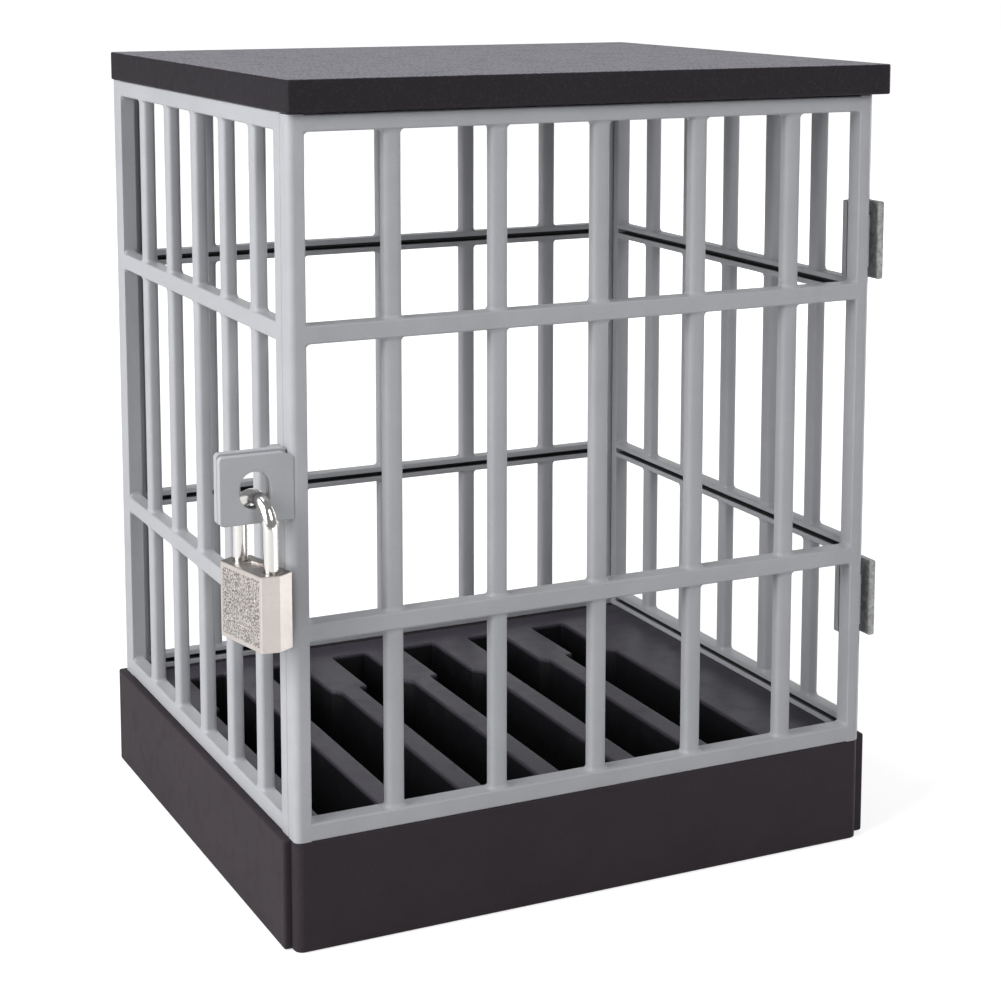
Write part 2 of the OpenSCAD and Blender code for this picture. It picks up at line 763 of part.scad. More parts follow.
module latch_spring() {
    y0 = latch_rear - 0.5 + eps;
    color(steel) hung() translate([-1.4, y0, latch_bottom + latch_h / 2]) rotate([-90, 0, 0])
        difference() {
            cylinder(r = 0.75, h = leg_y - rod_r - 0.4 - y0 - eps);
            translate([0, 0, -1]) cylinder(r = 0.45, h = 20);
        }
}

module shackle_spring() {
    z0 = -lock_h + cap_t + 1 + eps;
    color(steel) hung() translate([0, leg_y, z0]) difference() {
        cylinder(r = rod_r - 0.1, h = -heel_depth - z0 - eps);
        translate([0, 0, -1]) cylinder(r = rod_r - 0.5, h = 20);
    }
}

module key_pins() {
    color(brass) hung() at_tumblers() translate([0, 0, 0.6]) cylinder(r = tumbler_r, h = 2.2);
}

module driver_pins() {
    color(brass) hung() at_tumblers() translate([0, 0, plug_r + 0.08])
        cylinder(r = tumbler_r, h = 2.3);
}

module tumbler_springs() {
    color(steel) hung() at_tumblers() translate([0, 0, plug_r + 2.4]) difference() {
        cylinder(r = tumbler_r - 0.1, h = 2.96);
        translate([0, 0, -1]) cylinder(r = tumbler_r - 0.35, h = 5);
    }
}

plinth_shell();
plinth_front();
bottom_plate();
bottom_screws();
floor_tray();
left_wall();
wall_ear();
right_wall();
upper_hinge_bracket();
lower_hinge_bracket();
back_wall();
roof_cover();
door();
door_ear();
upper_hinge_pin();
lower_hinge_pin();
shackle();
lock_body();
lock_cap();
lock_plug();
lock_latch();
latch_spring();
shackle_spring();
key_pins();
driver_pins();
tumbler_springs();
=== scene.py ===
"""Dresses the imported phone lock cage: grille walls, door, plinth, roof, hinges and padlock."""

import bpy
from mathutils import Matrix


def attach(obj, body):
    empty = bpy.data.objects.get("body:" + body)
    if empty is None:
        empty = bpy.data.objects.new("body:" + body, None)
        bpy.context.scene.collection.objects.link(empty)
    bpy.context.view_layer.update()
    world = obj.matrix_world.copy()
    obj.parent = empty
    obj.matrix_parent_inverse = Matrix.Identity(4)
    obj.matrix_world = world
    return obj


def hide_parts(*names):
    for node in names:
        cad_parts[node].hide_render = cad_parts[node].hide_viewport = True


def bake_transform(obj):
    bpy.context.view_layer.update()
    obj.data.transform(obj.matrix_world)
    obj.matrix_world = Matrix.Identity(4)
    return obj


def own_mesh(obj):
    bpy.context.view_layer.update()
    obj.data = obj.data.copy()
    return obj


bl_info = {
    "name": "Phone Lock Cage",
    "version": (1, 0, 0),
    "blender": (4, 5, 0),
    "location": "View3D > Sidebar > Lock Cage",
    "description": "Builds the visible pieces of a phone lock cage over its packed solids",
    "category": "Object",
}

import bmesh
import bpy
import numpy as np
from bpy.props import FloatProperty, FloatVectorProperty, IntProperty, PointerProperty
from mathutils import Matrix, Vector
from mathutils.geometry import tessellate_polygon

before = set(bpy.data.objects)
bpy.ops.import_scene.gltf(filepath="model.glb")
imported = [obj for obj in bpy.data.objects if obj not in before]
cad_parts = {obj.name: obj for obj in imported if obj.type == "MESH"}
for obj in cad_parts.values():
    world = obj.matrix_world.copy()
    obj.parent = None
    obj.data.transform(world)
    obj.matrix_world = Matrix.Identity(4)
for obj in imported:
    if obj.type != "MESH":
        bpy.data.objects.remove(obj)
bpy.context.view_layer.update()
MM = 0.001
# Points round a circle, a lathed or a swept piece, unless a call gives another number.
ROUND = 32
# Points that are nearer than this become one.
WELD = 0.0002 * MM
# The door's lower left front corner, seen from the middle of the plinth's underside.
CORNER = np.array([-0.08095, -0.0735, 0.0])


def mm(*values):
    """Millimetres as metres, in an array."""
    return np.array(values, float) * MM


# Settings


def length(name, about, value):
    """A setting in metres."""
    return FloatProperty(name=name, description=about, default=value, min=0.0001, max=0.5,
                         subtype="DISTANCE", unit="LENGTH", precision=5)


def colour(name, about, value):
    """A setting for a colour."""
    return FloatVectorProperty(name=name, description=about, default=value, min=0, max=1,
                               size=3, subtype="COLOR")


def share(name, about, value):
    """A setting between 0 and 1."""
    return FloatProperty(name=name, description=about, default=value, min=0, max=1,
                         subtype="FACTOR")


def power(name, about, value):
    """A setting in watts."""
    return FloatProperty(name=name, description=about, default=value, min=0, subtype="POWER",
                         unit="POWER")


class CageSizes(bpy.types.PropertyGroup):
    """Sizes of the cage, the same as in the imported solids."""
    cage_width: length("Cage width", "Width over the two side walls", 0.1632)
    cage_depth: length("Cage depth", "Door front to back wall", 0.1422)
    grille_height: length("Grille height", "Height between plinth and roof", 0.1727)
    plinth_height: length("Plinth height", "Height of the base", 0.0273)
    wall_thick: length("Wall thickness", "Thickness of the fixed walls", 0.0042)
    door_width: length("Door width", "Width of the door", 0.160)
    door_thick: length("Door thickness", "Thickness of the door's frame", 0.005)
    door_gap: length("Door gap", "Gap between the door and its neighbours", 0.0003)
    rail_height: length("Rail height", "Height of every rail", 0.0044)
    outer_row: length("Outer row", "Clear height of the lowest and highest cells", 0.0445)
    post_width: length("Post width", "Width of the corner posts", 0.0042)
    rear_post: length("Rear post", "Width of the side walls' rear posts", 0.007)
    bar_width: length("Bar width", "Width of a bar", 0.0046)
    bar_thick: length("Bar thickness", "Thickness of a bar", 0.0036)
    cove: length("Bar cove", "Radius between a bar and a rail", 0.0011)
    post_cove: length("Post cove", "Radius between a post and a rail", 0.0017)
    bars: IntProperty(name="Bars", description="Bars in each wall", default=5, min=3, max=5)
    wide_first: length("First wide bar", "First bar of door and back wall", 0.0262)
    wide_last: length("Last wide bar", "Last bar from the door's right edge", 0.0238)
    side_first: length("First side bar", "First bar of the side walls", 0.0264)
    side_last: length("Last side bar", "Last bar from the back", 0.0258)


class CageDetails(bpy.types.PropertyGroup):
    """Sizes of hinges, ears, floor and roof."""
    axis_x: length("Pin axis X", "Hinge pin axis from the door's left edge", 0.159)
    axis_y: length("Pin axis Y", "Hinge pin axis behind the door's face", 0.003)
    pin_radius: length("Pin radius", "Radius of a hinge pin", 0.001)
    bracket_height: length("Bracket height", "Height of a hinge bracket", 0.0204)
    arm_height: length("Arm height", "Height of a bracket arm", 0.003)
    upper_bracket: length("Upper bracket", "Bottom of the upper bracket", 0.1515)
    lower_bracket: length("Lower bracket", "Bottom of the lower bracket", 0.0554)
    ear_reach: length("Ear reach", "Reach of the ears", 0.0172)
    ear_height: length("Ear height", "Height of the ears", 0.0162)
    ear_thick: length("Ear thickness", "Thickness of an ear", 0.002)
    ear_bottom: length("Ear bottom", "Underside of the ears", 0.1061)
    ear_hole: length("Ear hole", "Radius of the round ends of the ears' hole", 0.0038)
    ear_slot: length("Ear slot", "How much taller than wide that hole is", 0.0013)
    roof_thick: length("Roof thickness", "Thickness of the roof", 0.0077)
    roof_front: length("Roof front", "Overhang over the door", 0.002)
    roof_side: length("Roof side", "Overhang at the sides", 0.0006)
    slots: IntProperty(name="Slots", description="Phone slots in the floor", default=6, min=1,
                       max=6)
    slot_width: length("Slot width", "Width of a phone slot", 0.0159)
    slot_pitch: length("Slot pitch", "Distance between slots", 0.0221)
    slot_first: length("First slot", "First slot's left side", 0.0114)
    slot_depth: length("Slot depth", "Depth of a phone slot", 0.019)


class LockSizes(bpy.types.PropertyGroup):
    """Sizes of the padlock."""
    width: length("Lock width", "Width of the lock body", 0.021)
    height: length("Lock height", "Height of the lock body", 0.0181)
    thick: length("Lock thickness", "Thickness of the lock body", 0.0083)
    ridge: length("Ridge", "How far the narrow sides rise to their ridge", 0.0014)
    rod: length("Rod radius", "Radius of the shackle's rod", 0.00175)
    bend: length("Bend radius", "Radius of the shackle's bend", 0.00675)
    rise: length("Rise", "Lock top to the rod at the top of the bend", 0.0164)
    top: length("Lock top", "Height of the lock body's top", 0.0956)
    yaw: FloatProperty(name="Yaw", description="Turn of the hanging lock", default=np.radians(12.0),
                       subtype="ANGLE", unit="ROTATION")


class CageFinish(bpy.types.PropertyGroup):
    """Colours and surface strengths."""
    grille: colour("Grille", "Grey of the grille plastic", (0.385, 0.392, 0.412))
    bracket: colour("Bracket", "Grey of the hinge brackets", (0.345, 0.35, 0.35))
    roof: colour("Roof", "Black of the roof", (0.016, 0.013, 0.017))
    plinth: colour("Plinth", "Black of the plinth", (0.036, 0.029, 0.034))
    floor: colour("Floor", "Dark grey of the slotted floor", (0.044, 0.040, 0.052))
    nickel: colour("Nickel", "Plating of the padlock body", (0.66, 0.615, 0.585))
    chrome: colour("Chrome", "Plating of the shackle", (0.78, 0.76, 0.735))
    steel: colour("Steel", "Pins, screws and springs", (0.56, 0.56, 0.57))
    brass: colour("Brass", "Plug and tumbler pins", (0.74, 0.53, 0.24))
    grain: share("Grain", "Strength of the moulded grain", 0.35)
    wear: share("Wear", "Strength of scuffs and dust", 0.3)
    key_power: power("Key light", "Power of the left softbox", 15.0)
    fill_power: power("Fill light", "Power of the right softbox", 6.4)


# Outlines


def soften(corners, radius, steps=4):
    """Outline with rounded corners. Each corner is a circle arc written as a rational quadratic:
    ((1-s)^2 A + 2 s (1-s) w P + s^2 B) / ((1-s)^2 + 2 s (1-s) w + s^2), where P is the corner,
    A and B lie radius / tan(half angle) before and after it, and w is the sine of that half."""
    p = np.asarray(corners, float)
    radius = np.broadcast_to(np.asarray(radius, float), len(p))
    before = np.roll(p, 1, 0) - p
    after = np.roll(p, -1, 0) - p
    before /= np.linalg.norm(before, axis=1, keepdims=True)
    after /= np.linalg.norm(after, axis=1, keepdims=True)
    half = np.arccos(np.clip((before * after).sum(1), -1, 1)) / 2
    reach = np.maximum(radius, 0.02 * MM) / np.tan(half)
    a = p + before * reach[:, None]
    b = p + after * reach[:, None]
    s = np.linspace(0, 1, steps + 1)[None, :, None]
    w = np.sin(half)[:, None, None]
    top = (1 - s) ** 2 * a[:, None] + 2 * s * (1 - s) * w * p[:, None] + s ** 2 * b[:, None]
    return (top / ((1 - s) ** 2 + 2 * s * (1 - s) * w + s ** 2)).reshape(-1, 2)


def rect(x0, x1, y0, y1, radius, steps=4):
    """Rectangle from x0, y0 to x1, y1 with rounded corners."""
    return soften([(x0, y0), (x1, y0), (x1, y1), (x0, y1)], radius, steps)


def circle(x, y, radius, count=ROUND):
    """Points of a circle, counter-clockwise."""
    a = np.arange(count) * 2 * np.pi / count
    return np.stack([x + radius * np.cos(a), y + radius * np.sin(a)], -1)


def inset(outline, distance):
    """Outline moved inwards: each point goes distance * (n1 + n2) / (1 + n1.n2), where n1 and n2
    are the inward normals of the edges that meet there."""
    edge = np.roll(outline, -1, 0) - outline
    edge /= np.maximum(np.linalg.norm(edge, axis=1, keepdims=True), 1e-12)
    n2 = np.stack([-edge[:, 1], edge[:, 0]], -1)
    n1 = np.roll(n2, 1, 0)
    return outline + distance * (n1 + n2) / (1 + (n1 * n2).sum(1, keepdims=True))


def at_height(outline, z):
    """A flat outline as a ring at height z."""
    return np.column_stack([outline, np.full(len(outline), z)])


# Closed surfaces


class Shape:
    """Closed surfaces gathered for one mesh. Each point has a mark that says if it is deep, for
    painted shade.
    """

    def __init__(self):
        self.points, self.deep, self.faces, self.count = [], [], [], 0

    def add(self, points, faces):
        """Adds points and the faces between them, none of them deep."""
        points = np.asarray(points, float).reshape(-1, 3)
        self.points.append(points)
        self.deep.append(np.zeros(len(points)))
        self.faces += [[i + self.count for i in f] for f in faces]
        self.count += len(points)

    def rings(self, rings, loop=False, caps=(True, True)):
        """A stack of rings [m, n, 3] joined by quads, with a face over the first and last one."""
        rings = np.asarray(rings, float)
        m, n = rings.shape[:2]
        rows = np.arange(m if loop else m - 1)[:, None]
        cols = np.arange(n)[None, :]
        r2, c2 = (rows + 1) % m, (cols + 1) % n
        quads = np.stack(np.broadcast_arrays(rows * n + cols, rows * n + c2, r2 * n + c2,
                                             r2 * n + cols), -1).reshape(-1, 4).tolist()
        if not loop and caps[0]:
            quads.append(list(range(n - 1, -1, -1)))
        if not loop and caps[1]:
            quads.append(list(range((m - 1) * n, m * n)))
        self.add(rings, quads)

    def fill(self, loops, z):
        """A flat face at height z, inside the first loop and outside the others."""
        flat = [at_height(loop, z) for loop in loops]
        tris = tessellate_polygon([[Vector(p) for p in ring] for ring in flat])
        self.add(np.vstack(flat), [list(t) for t in tris])

    def move(self, change, start=0):
        """Applies a change of place to the surfaces from number start on."""
        self.points[start:] = [change(p) for p in self.points[start:]]


def rim(outline, z, edge, side, steps=3, grow=1):
    """Rings of a rounded edge, from the flat face at height z into the wall above it (side 1)
    or below it (side -1). It is a quarter circle: inset edge (1 - sin a), depth
    edge (1 - cos a). At the mouth of a hole grow is -1, so that the outline widens."""
    a = np.linspace(0, np.pi / 2, steps + 1)
    return [at_height(inset(outline, grow * i), z + side * d)
            for i, d in zip(edge * (1 - np.sin(a)), edge * (1 - np.cos(a)))]


def skirt(outline, z0, z1, edge, steps=3, grow=1):
    """Rings of a wall from z0 up to z1 with both its rims rounded like rim()."""
    return (rim(outline, z0, edge, 1, steps, grow)
            + rim(outline, z1, edge, -1, steps, grow)[::-1])


def slab(shape, outline, z0, z1, edge, steps=3):
    """A prism over an outline, closed by skirt()."""
    shape.rings(skirt(outline, z0, z1, edge, steps))


def pierced(shape, outline, z0, z1, holes=(), top=(), bottom=(), edge=0.3 * MM, lip=0.2 * MM):
    """A prism with through holes, and blind holes (outline, depth) in its top and its bottom.
    Flat faces are filled between the outlines; walls and lips follow skirt() and rim()."""
    shape.rings(skirt(outline, z0, z1, edge), caps=(False, False))
    for z, side, blind in ((z1, -1, top), (z0, 1, bottom)):
        for hole, depth in blind:
            well = rim(hole, z, lip, side, 2, -1) + [at_height(hole, z + side * depth)]
            shape.rings(well, caps=(False, True))
        mouths = [*holes, *(hole for hole, _ in blind)]
        shape.fill([inset(outline, edge)] + [inset(hole, -lip) for hole in mouths], z)
    for hole in holes:
        shape.rings(skirt(hole, z0, z1, lip, 2, -1)[::-1], caps=(False, False))


def lathe(shape, profile, centre, loop=False):
    """A profile of radii and heights turned about a vertical axis:
    (cx + r cos t, cy + r sin t, z). With loop the profile is closed, as of a tube."""
    t = np.arange(ROUND) * 2 * np.pi / ROUND
    r, z = np.asarray(profile, float).T[:, :, None]
    shape.rings(np.stack([centre[0] + r * np.cos(t), centre[1] + r * np.sin(t),
                          np.repeat(z, ROUND, 1)], -1), loop)


def sweep(shape, path, side, radius, count=ROUND):
    """A round rod along a path: C(t) + r (cos f S + sin f (T x S)), with T the path's direction
    and S a side direction across it."""
    tangent = np.gradient(path, axis=0)
    tangent /= np.linalg.norm(tangent, axis=1, keepdims=True)
    side = np.broadcast_to(side, path.shape)
    third = np.cross(tangent, side)
    radius = np.broadcast_to(radius, len(path))[:, None, None]
    f = (np.arange(count) * 2 * np.pi / count)[None, :, None]
    shape.rings(path[:, None] + radius * (np.cos(f) * side[:, None] + np.sin(f) * third[:, None]))


def coil(shape, start, axis, radius, wire, height, turns):
    """A helix: start + height t A + radius (cos 2 pi n t U + sin 2 pi n t V), a wire thick."""
    axis = np.array(axis, float)
    u = np.cross(axis, [0.3, 0.5, 0.8])
    u /= np.linalg.norm(u)
    t = np.linspace(0, 1, turns * 16 + 1)[:, None]
    turn = 2 * np.pi * turns * t
    out = np.cos(turn) * u + np.sin(turn) * np.cross(axis, u)
    middle = start + axis * (wire + (height - 2 * wire) * t)
    sweep(shape, middle + radius * out, out, wire, 8)


def drawn(points):
    """Moves points drawn from the door's lower left corner into the model's frame."""
    return points + CORNER


def upright(points):
    """Turns points drawn as (along, through, up) into a panel's (along, up, through)."""
    return points[:, [0, 2, 1]]


def panel_map(origin, along, across):
    """Turns a panel's own coordinates (along, up, through) into the model's frame."""
    axes = np.array([along, (0, 0, 1), across], float)
    return lambda p: drawn(p @ axes + origin)


def build(shape, name, finish, body, nodes, place, angle=38.0):
    """Makes one mesh object from the gathered surfaces, moves it to its place and lets it ride
    on its body, if any. Edges sharper than angle stay sharp."""
    shape.move(place)
    mesh = bpy.data.meshes.new(name)
    mesh.from_pydata(np.vstack(shape.points).tolist(), [], shape.faces)
    # The deep mark goes onto the mesh, for the painted shade in grooves.
    deep = mesh.attributes.new("deep", "FLOAT", "POINT")
    deep.data.foreach_set("value", np.concatenate(shape.deep))
    work = bmesh.new()
    work.from_mesh(mesh)
    bmesh.ops.remove_doubles(work, verts=work.verts, dist=WELD)
    bmesh.ops.recalc_face_normals(work, faces=work.faces)
    work.to_mesh(mesh)
    work.free()
    mesh.shade_smooth()
    mesh.set_sharp_from_angle(angle=np.radians(angle))
    mesh.materials.append(finish_of(finish))
    piece = bpy.data.objects.new(name, mesh)
    bpy.context.scene.collection.objects.link(piece)
    even = piece.modifiers.new("Even shading", "WEIGHTED_NORMAL")
    even.keep_sharp = True
    even.weight = 100
    if body:
        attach(piece, body)
    if nodes:
        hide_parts(*nodes)
    return piece


# Finishes


class Tree:
    """Short calls for adding and joining nodes."""

    def __init__(self, tree):
        self.tree = tree

    def link(self, a, b):
        """Joins an output to an input."""
        self.tree.links.new(a, b)

    def plug(self, value, socket):
        """Joins a socket to another, or sets it to a number, a vector or a colour."""
        if isinstance(value, bpy.types.NodeSocket):
            self.link(value, socket)
        elif socket.type == "RGBA":
            socket.default_value = (*value, 1.0)
        else:
            socket.default_value = value

    def node(self, kind, inputs=(), **settings):
        """A new node with some of its settings, and some of its inputs plugged."""
        n = self.tree.nodes.new(kind)
        for key, value in settings.items():
            setattr(n, key, value)
        for key, value in dict(inputs).items():
            self.plug(value, n.inputs[key])
        return n

    def noise(self, vector, scale, detail, rough=0.5, stretch=None):
        """Noise over a vector, which may first be stretched along its axes."""
        if stretch:
            mapping = self.node("ShaderNodeMapping", {"Vector": vector, "Scale": stretch})
            vector = mapping.outputs["Vector"]
        return self.node("ShaderNodeTexNoise", {"Vector": vector, "Scale": scale, "Detail": detail,
                                                "Roughness": rough}).outputs["Fac"]

    def sums(self, how, a, b):
        """One sum of two values or sockets."""
        return self.node("ShaderNodeMath", {0: a, 1: b}, operation=how).outputs[0]

    def plus(self, a, b):
        """a + b"""
        return self.sums("ADD", a, b)

    def times(self, a, b):
        """a b"""
        return self.sums("MULTIPLY", a, b)

    def ramp(self, value, low, high, to_low=0.0, to_high=1.0):
        """A smooth step from to_low to to_high while value goes from low to high."""
        ends = {"From Min": low, "From Max": high, "To Min": to_low, "To Max": to_high}
        return self.node("ShaderNodeMapRange", {"Value": value, **ends},
                         interpolation_type="SMOOTHSTEP").outputs["Result"]

    def mix(self, factor, a, b):
        """A colour between a and b."""
        return self.node("ShaderNodeMix", {"Factor": factor, 6: a, 7: b},
                         data_type="RGBA").outputs[2]


def moulded_grain(t, vector, scale):
    """Fine spark-eroded grain of moulded plastic: two noises, one almost four times finer."""
    fine = t.noise(vector, scale, 3.0, 0.65)
    coarse = t.noise(vector, t.times(scale, 0.28), 2.0)
    return {"Height": t.plus(t.times(fine, 0.7), t.times(coarse, 0.3)),
            "Speckle": t.ramp(fine, 0.52, 0.72)}


def flow_clouds(t, vector, scale):
    """Slow, soft changes of tone from the flow of the plastic: a wide and a close noise."""
    wide = t.noise(vector, scale, 3.0, 0.6)
    close = t.noise(vector, t.times(scale, 7.0), 2.0)
    return {"Tone": t.ramp(t.plus(t.times(wide, 0.65), t.times(close, 0.35)), 0.3, 0.7),
            "Patch": t.ramp(close, 0.45, 0.75)}


def scuffs(t, vector, scale):
    """Hair-thin scuffs in two directions: noise stretched forty times, only its crests kept."""
    one = t.noise(vector, scale, 2.0, 0.6, (1, 1.3, 40))
    two = t.noise(vector, scale, 2.0, 0.6, (40, 22, 1.2))
    return {"Scuff": t.sums("MAXIMUM", t.ramp(one, 0.66, 0.74), t.ramp(two, 0.68, 0.76))}


def hammering(t, vector, scale):
    """Hammered dimples: smooth cells whose walls are ridges, bent by a coarser noise."""
    bend = t.node("ShaderNodeTexNoise", {"Vector": vector, "Scale": 700.0}).outputs["Color"]
    bent = t.node("ShaderNodeVectorMath", {0: bend, 1: (0.9 * MM,) * 3, 2: vector},
                  operation="MULTIPLY_ADD").outputs[0]
    far = t.node("ShaderNodeTexVoronoi", {"Vector": bent, "Scale": scale, "Smoothness": 0.4},
                 feature="SMOOTH_F1").outputs["Distance"]
    return {"Height": t.ramp(far, 0.1, 0.75), "Valley": t.ramp(far, 0.36, 0.62)}


def use(t, draw, place, scale):
    """A shared effect at a scale, as its outputs. It is a node group, which draw makes once."""
    name = draw.__name__.replace("_", " ").capitalize()
    group = bpy.data.node_groups.get(name)
    if not group:
        group = bpy.data.node_groups.new(name, "ShaderNodeTree")
        socket = group.interface.new_socket
        socket(name="Vector", in_out="INPUT", socket_type="NodeSocketVector")
        socket(name="Scale", in_out="INPUT", socket_type="NodeSocketFloat")
        inner = Tree(group)
        start = inner.node("NodeGroupInput").outputs
        results = draw(inner, start["Vector"], start["Scale"])
        for label in results:
            socket(name=label, in_out="OUTPUT", socket_type="NodeSocketFloat")
        inner.node("NodeGroupOutput", results)
    return t.node("ShaderNodeGroup", {"Vector": place, "Scale": scale}, node_tree=group).outputs


def upward(t):
    """1 on faces that look up, 0 on the others."""
    normal = t.node("ShaderNodeTexCoord").outputs["Normal"]
    return t.ramp(t.node("ShaderNodeSeparateXYZ", {0: normal}).outputs["Z"], 0.6, 0.95)


def begin(name):
    """A new material, its nodes, its shader's inputs and the object coordinates."""
    material = bpy.data.materials.new(name)
    material.use_nodes = True
    t = Tree(material.node_tree)
    shader = material.node_tree.nodes["Principled BSDF"].inputs
    return material, t, shader, t.node("ShaderNodeTexCoord").outputs["Object"]


def bumped(t, shader, height, distance):
    """Lays a height over the shader's normal, distance high."""
    bump = t.node("ShaderNodeBump", {"Height": height, "Distance": distance, "Strength": 1.0})
    t.link(bump.outputs["Normal"], shader["Normal"])


def tint(base, factor, shift=(0, 0, 0)):
    """A colour times a factor and plus a shift, kept between 0 and 1."""
    return tuple(min(1.0, max(0.0, c * factor + s)) for c, s in zip(base, shift))


def plastic(name, base, rough, scale, depth, speckle, clouds, wear, gloss=0.3, dust=0.0,
            painted_groove_shade=False, painted_shade_below=None):
    """Moulded plastic: tone clouds, speckle in the grain's crests, scuffs, and grain of a scale
    and depth as bump. Below the height it is given, and in grooves, shade is painted in a
    deep dark tone; dust and a painted sheen lie on upward faces."""
    material, t, shader, place = begin(name)
    grain = use(t, moulded_grain, place, scale)
    cloud = use(t, flow_clouds, place, 28.0)
    scuff = use(t, scuffs, place, 55.0)["Scuff"]
    # The first tone is the painted shade for grooves and low parts; the second is the tone of dust
    # and painted sheen.
    shade, dust_and_sheen_tone, fade = tint(base, 0.12), (0.38, 0.38, 0.45), 0.7 * MM
    tone = t.mix(cloud["Tone"], tint(base, 1 - clouds), tint(base, 1 + clouds))
    tone = t.mix(t.times(grain["Speckle"], speckle), tone, tint(base, 1.9, (0.03, 0.03, 0.032)))
    tone = t.mix(t.times(scuff, 0.22 * wear), tone, tint(base, 1.35, (0.05, 0.05, 0.05)))
    # Painted shade: points marked deep, inside a rail's groove, take the dark shade tone.
    if painted_groove_shade:
        deep = t.node("ShaderNodeAttribute", attribute_name="deep").outputs["Fac"]
        tone = t.mix(t.ramp(deep, 0.0, 0.3), tone, shade)
    # Dust and painted sheen: upward faces get a lighter, bluish speckle.
    if dust:
        speck = t.ramp(t.noise(place, scale * 0.75, 2.0, 0.7), 0.3, 0.72)
        tone = t.mix(t.times(t.times(upward(t), speck), dust), tone, dust_and_sheen_tone)
    # Painted shade: below the given height, down the walls of the floor's slots, the tone fades to
    # the dark shade tone.
    if painted_shade_below:
        height = t.node("ShaderNodeSeparateXYZ", {0: place}).outputs["Z"]
        tone = t.mix(t.ramp(height, painted_shade_below - fade, painted_shade_below, 1.0, 0.0), tone, shade)
    t.link(tone, shader["Base Color"])
    shine = t.plus(t.times(cloud["Patch"], 0.09), rough - 0.03)
    t.link(t.plus(shine, t.times(scuff, 0.12 * wear)), shader["Roughness"])
    shader["Specular IOR Level"].default_value = gloss
    bumped(t, shader, grain["Height"], depth)
    return material


def plated(name, base, rough, hammer=0.0, brushed=0.0, tarnish=0.12, dull_top=0.0):
    """Plated metal: dimples or brush lines as bump, darker tarnish in hollows and patches, and
    a darker tone on upward faces, as strong as dull_top."""
    material, t, shader, place = begin(name)
    cloud = use(t, flow_clouds, place, 160.0)
    scuff = use(t, scuffs, place, 420.0)["Scuff"]
    tone = t.mix(t.times(cloud["Tone"], tarnish), base, tint(base, 0.55))
    # Upward faces take a darker tone.
    if dull_top:
        tone = t.mix(t.times(upward(t), dull_top), tone, tint(base, 0.2))
    if hammer:
        dimple = use(t, hammering, place, 1700.0)
        tone = t.mix(t.times(dimple["Valley"], 0.8), tone, tint(base, 0.28))
        bumped(t, shader, dimple["Height"], hammer)
    elif brushed:
        bumped(t, shader, t.noise(place, 900.0, 3.0, 0.7, (9, 9, 0.6)), brushed)
    else:
        bumped(t, shader, use(t, moulded_grain, place, 2600.0)["Height"], 0.000004)
    t.link(t.mix(t.times(scuff, 0.3), tone, tint(base, 1.12)), shader["Base Color"])
    t.link(t.plus(t.times(cloud["Patch"], 0.12), rough), shader["Roughness"])
    shader["Metallic"].default_value = 1.0
    return material


def mottled(name, base):
    """Rough mottled plastic of the hinge brackets: light and dark blotches on a pitted skin."""
    material, t, shader, place = begin(name)
    grain = use(t, moulded_grain, place, 1300.0)["Height"]
    cloud = use(t, flow_clouds, place, 130.0)["Patch"]
    blotch = t.noise(place, 620.0, 4.0, 0.75)
    tone = t.mix(t.ramp(blotch, 0.38, 0.62), tint(base, 0.72), tint(base, 1.28))
    t.link(t.mix(t.times(cloud, 0.35), tone, tint(base, 0.5)), shader["Base Color"])
    t.link(t.ramp(blotch, 0.3, 0.7, 0.62, 0.42), shader["Roughness"])
    bumped(t, shader, t.plus(grain, blotch), 0.00006)
    return material


def finish_of(name):
    """The material of one finish, made when it is first asked for."""
    found = bpy.data.materials.get(name)
    if found:
        return found
    c = bpy.context.scene.cage_finish
    g, w = c.grain, c.wear
    # Top of the floor's face; below it the slots get painted shade.
    slots_top = bpy.context.scene.cage_sizes.plinth_height - 0.6 * MM
    make, base, look = {
        # The grille's grooves get painted shade.
        "grille plastic": (plastic, c.grille, dict(
            rough=0.44, scale=1500.0, depth=0.000045 * g, speckle=0.05, clouds=0.05, wear=w,
            gloss=0.2, painted_groove_shade=True)),
        # The roof's upward faces get dust and a painted sheen.
        "roof plastic": (plastic, c.roof, dict(
            rough=0.5, scale=1650.0, depth=0.00030 * g, speckle=0.3, clouds=0.06, wear=0.2 * w,
            gloss=0.12, dust=0.62)),
        "plinth plastic": (plastic, c.plinth, dict(
            rough=0.58, scale=1700.0, depth=0.00007 * g, speckle=0.12, clouds=0.08, wear=w,
            gloss=0.07)),
        # The floor's slots get painted shade below its face.
        "floor plastic": (plastic, c.floor, dict(
            rough=0.5, scale=1400.0, depth=0.00016 * g, speckle=0.35, clouds=0.12, wear=w,
            painted_shade_below=slots_top)),
        "bracket plastic": (mottled, c.bracket, {}),
        "hammered nickel": (plated, c.nickel, dict(rough=0.27, hammer=0.00009)),
        "satin nickel": (plated, tint(c.nickel, 1.02, (0.01, 0, -0.005)), dict(
            rough=0.34, brushed=0.00003, dull_top=0.75)),
        "chrome": (plated, c.chrome, dict(rough=0.1, tarnish=0.06)),
        "steel": (plated, c.steel, dict(rough=0.32, brushed=0.00002)),
        "brass": (plated, c.brass, dict(rough=0.28, brushed=0.00002)),
    }[name]
    return make(name, base, **look)


# Walls


def cells_of(s):
    """Bottom and top of the three rows of cells, from the foot of the grille."""
    h, r = s.rail_height, s.outer_row
    middle = s.grille_height - 4 * h - 2 * r
    return np.array([(h, h + r), (2 * h + r, 2 * h + r + middle),
                     (3 * h + r + middle, 3 * h + 2 * r + middle)])


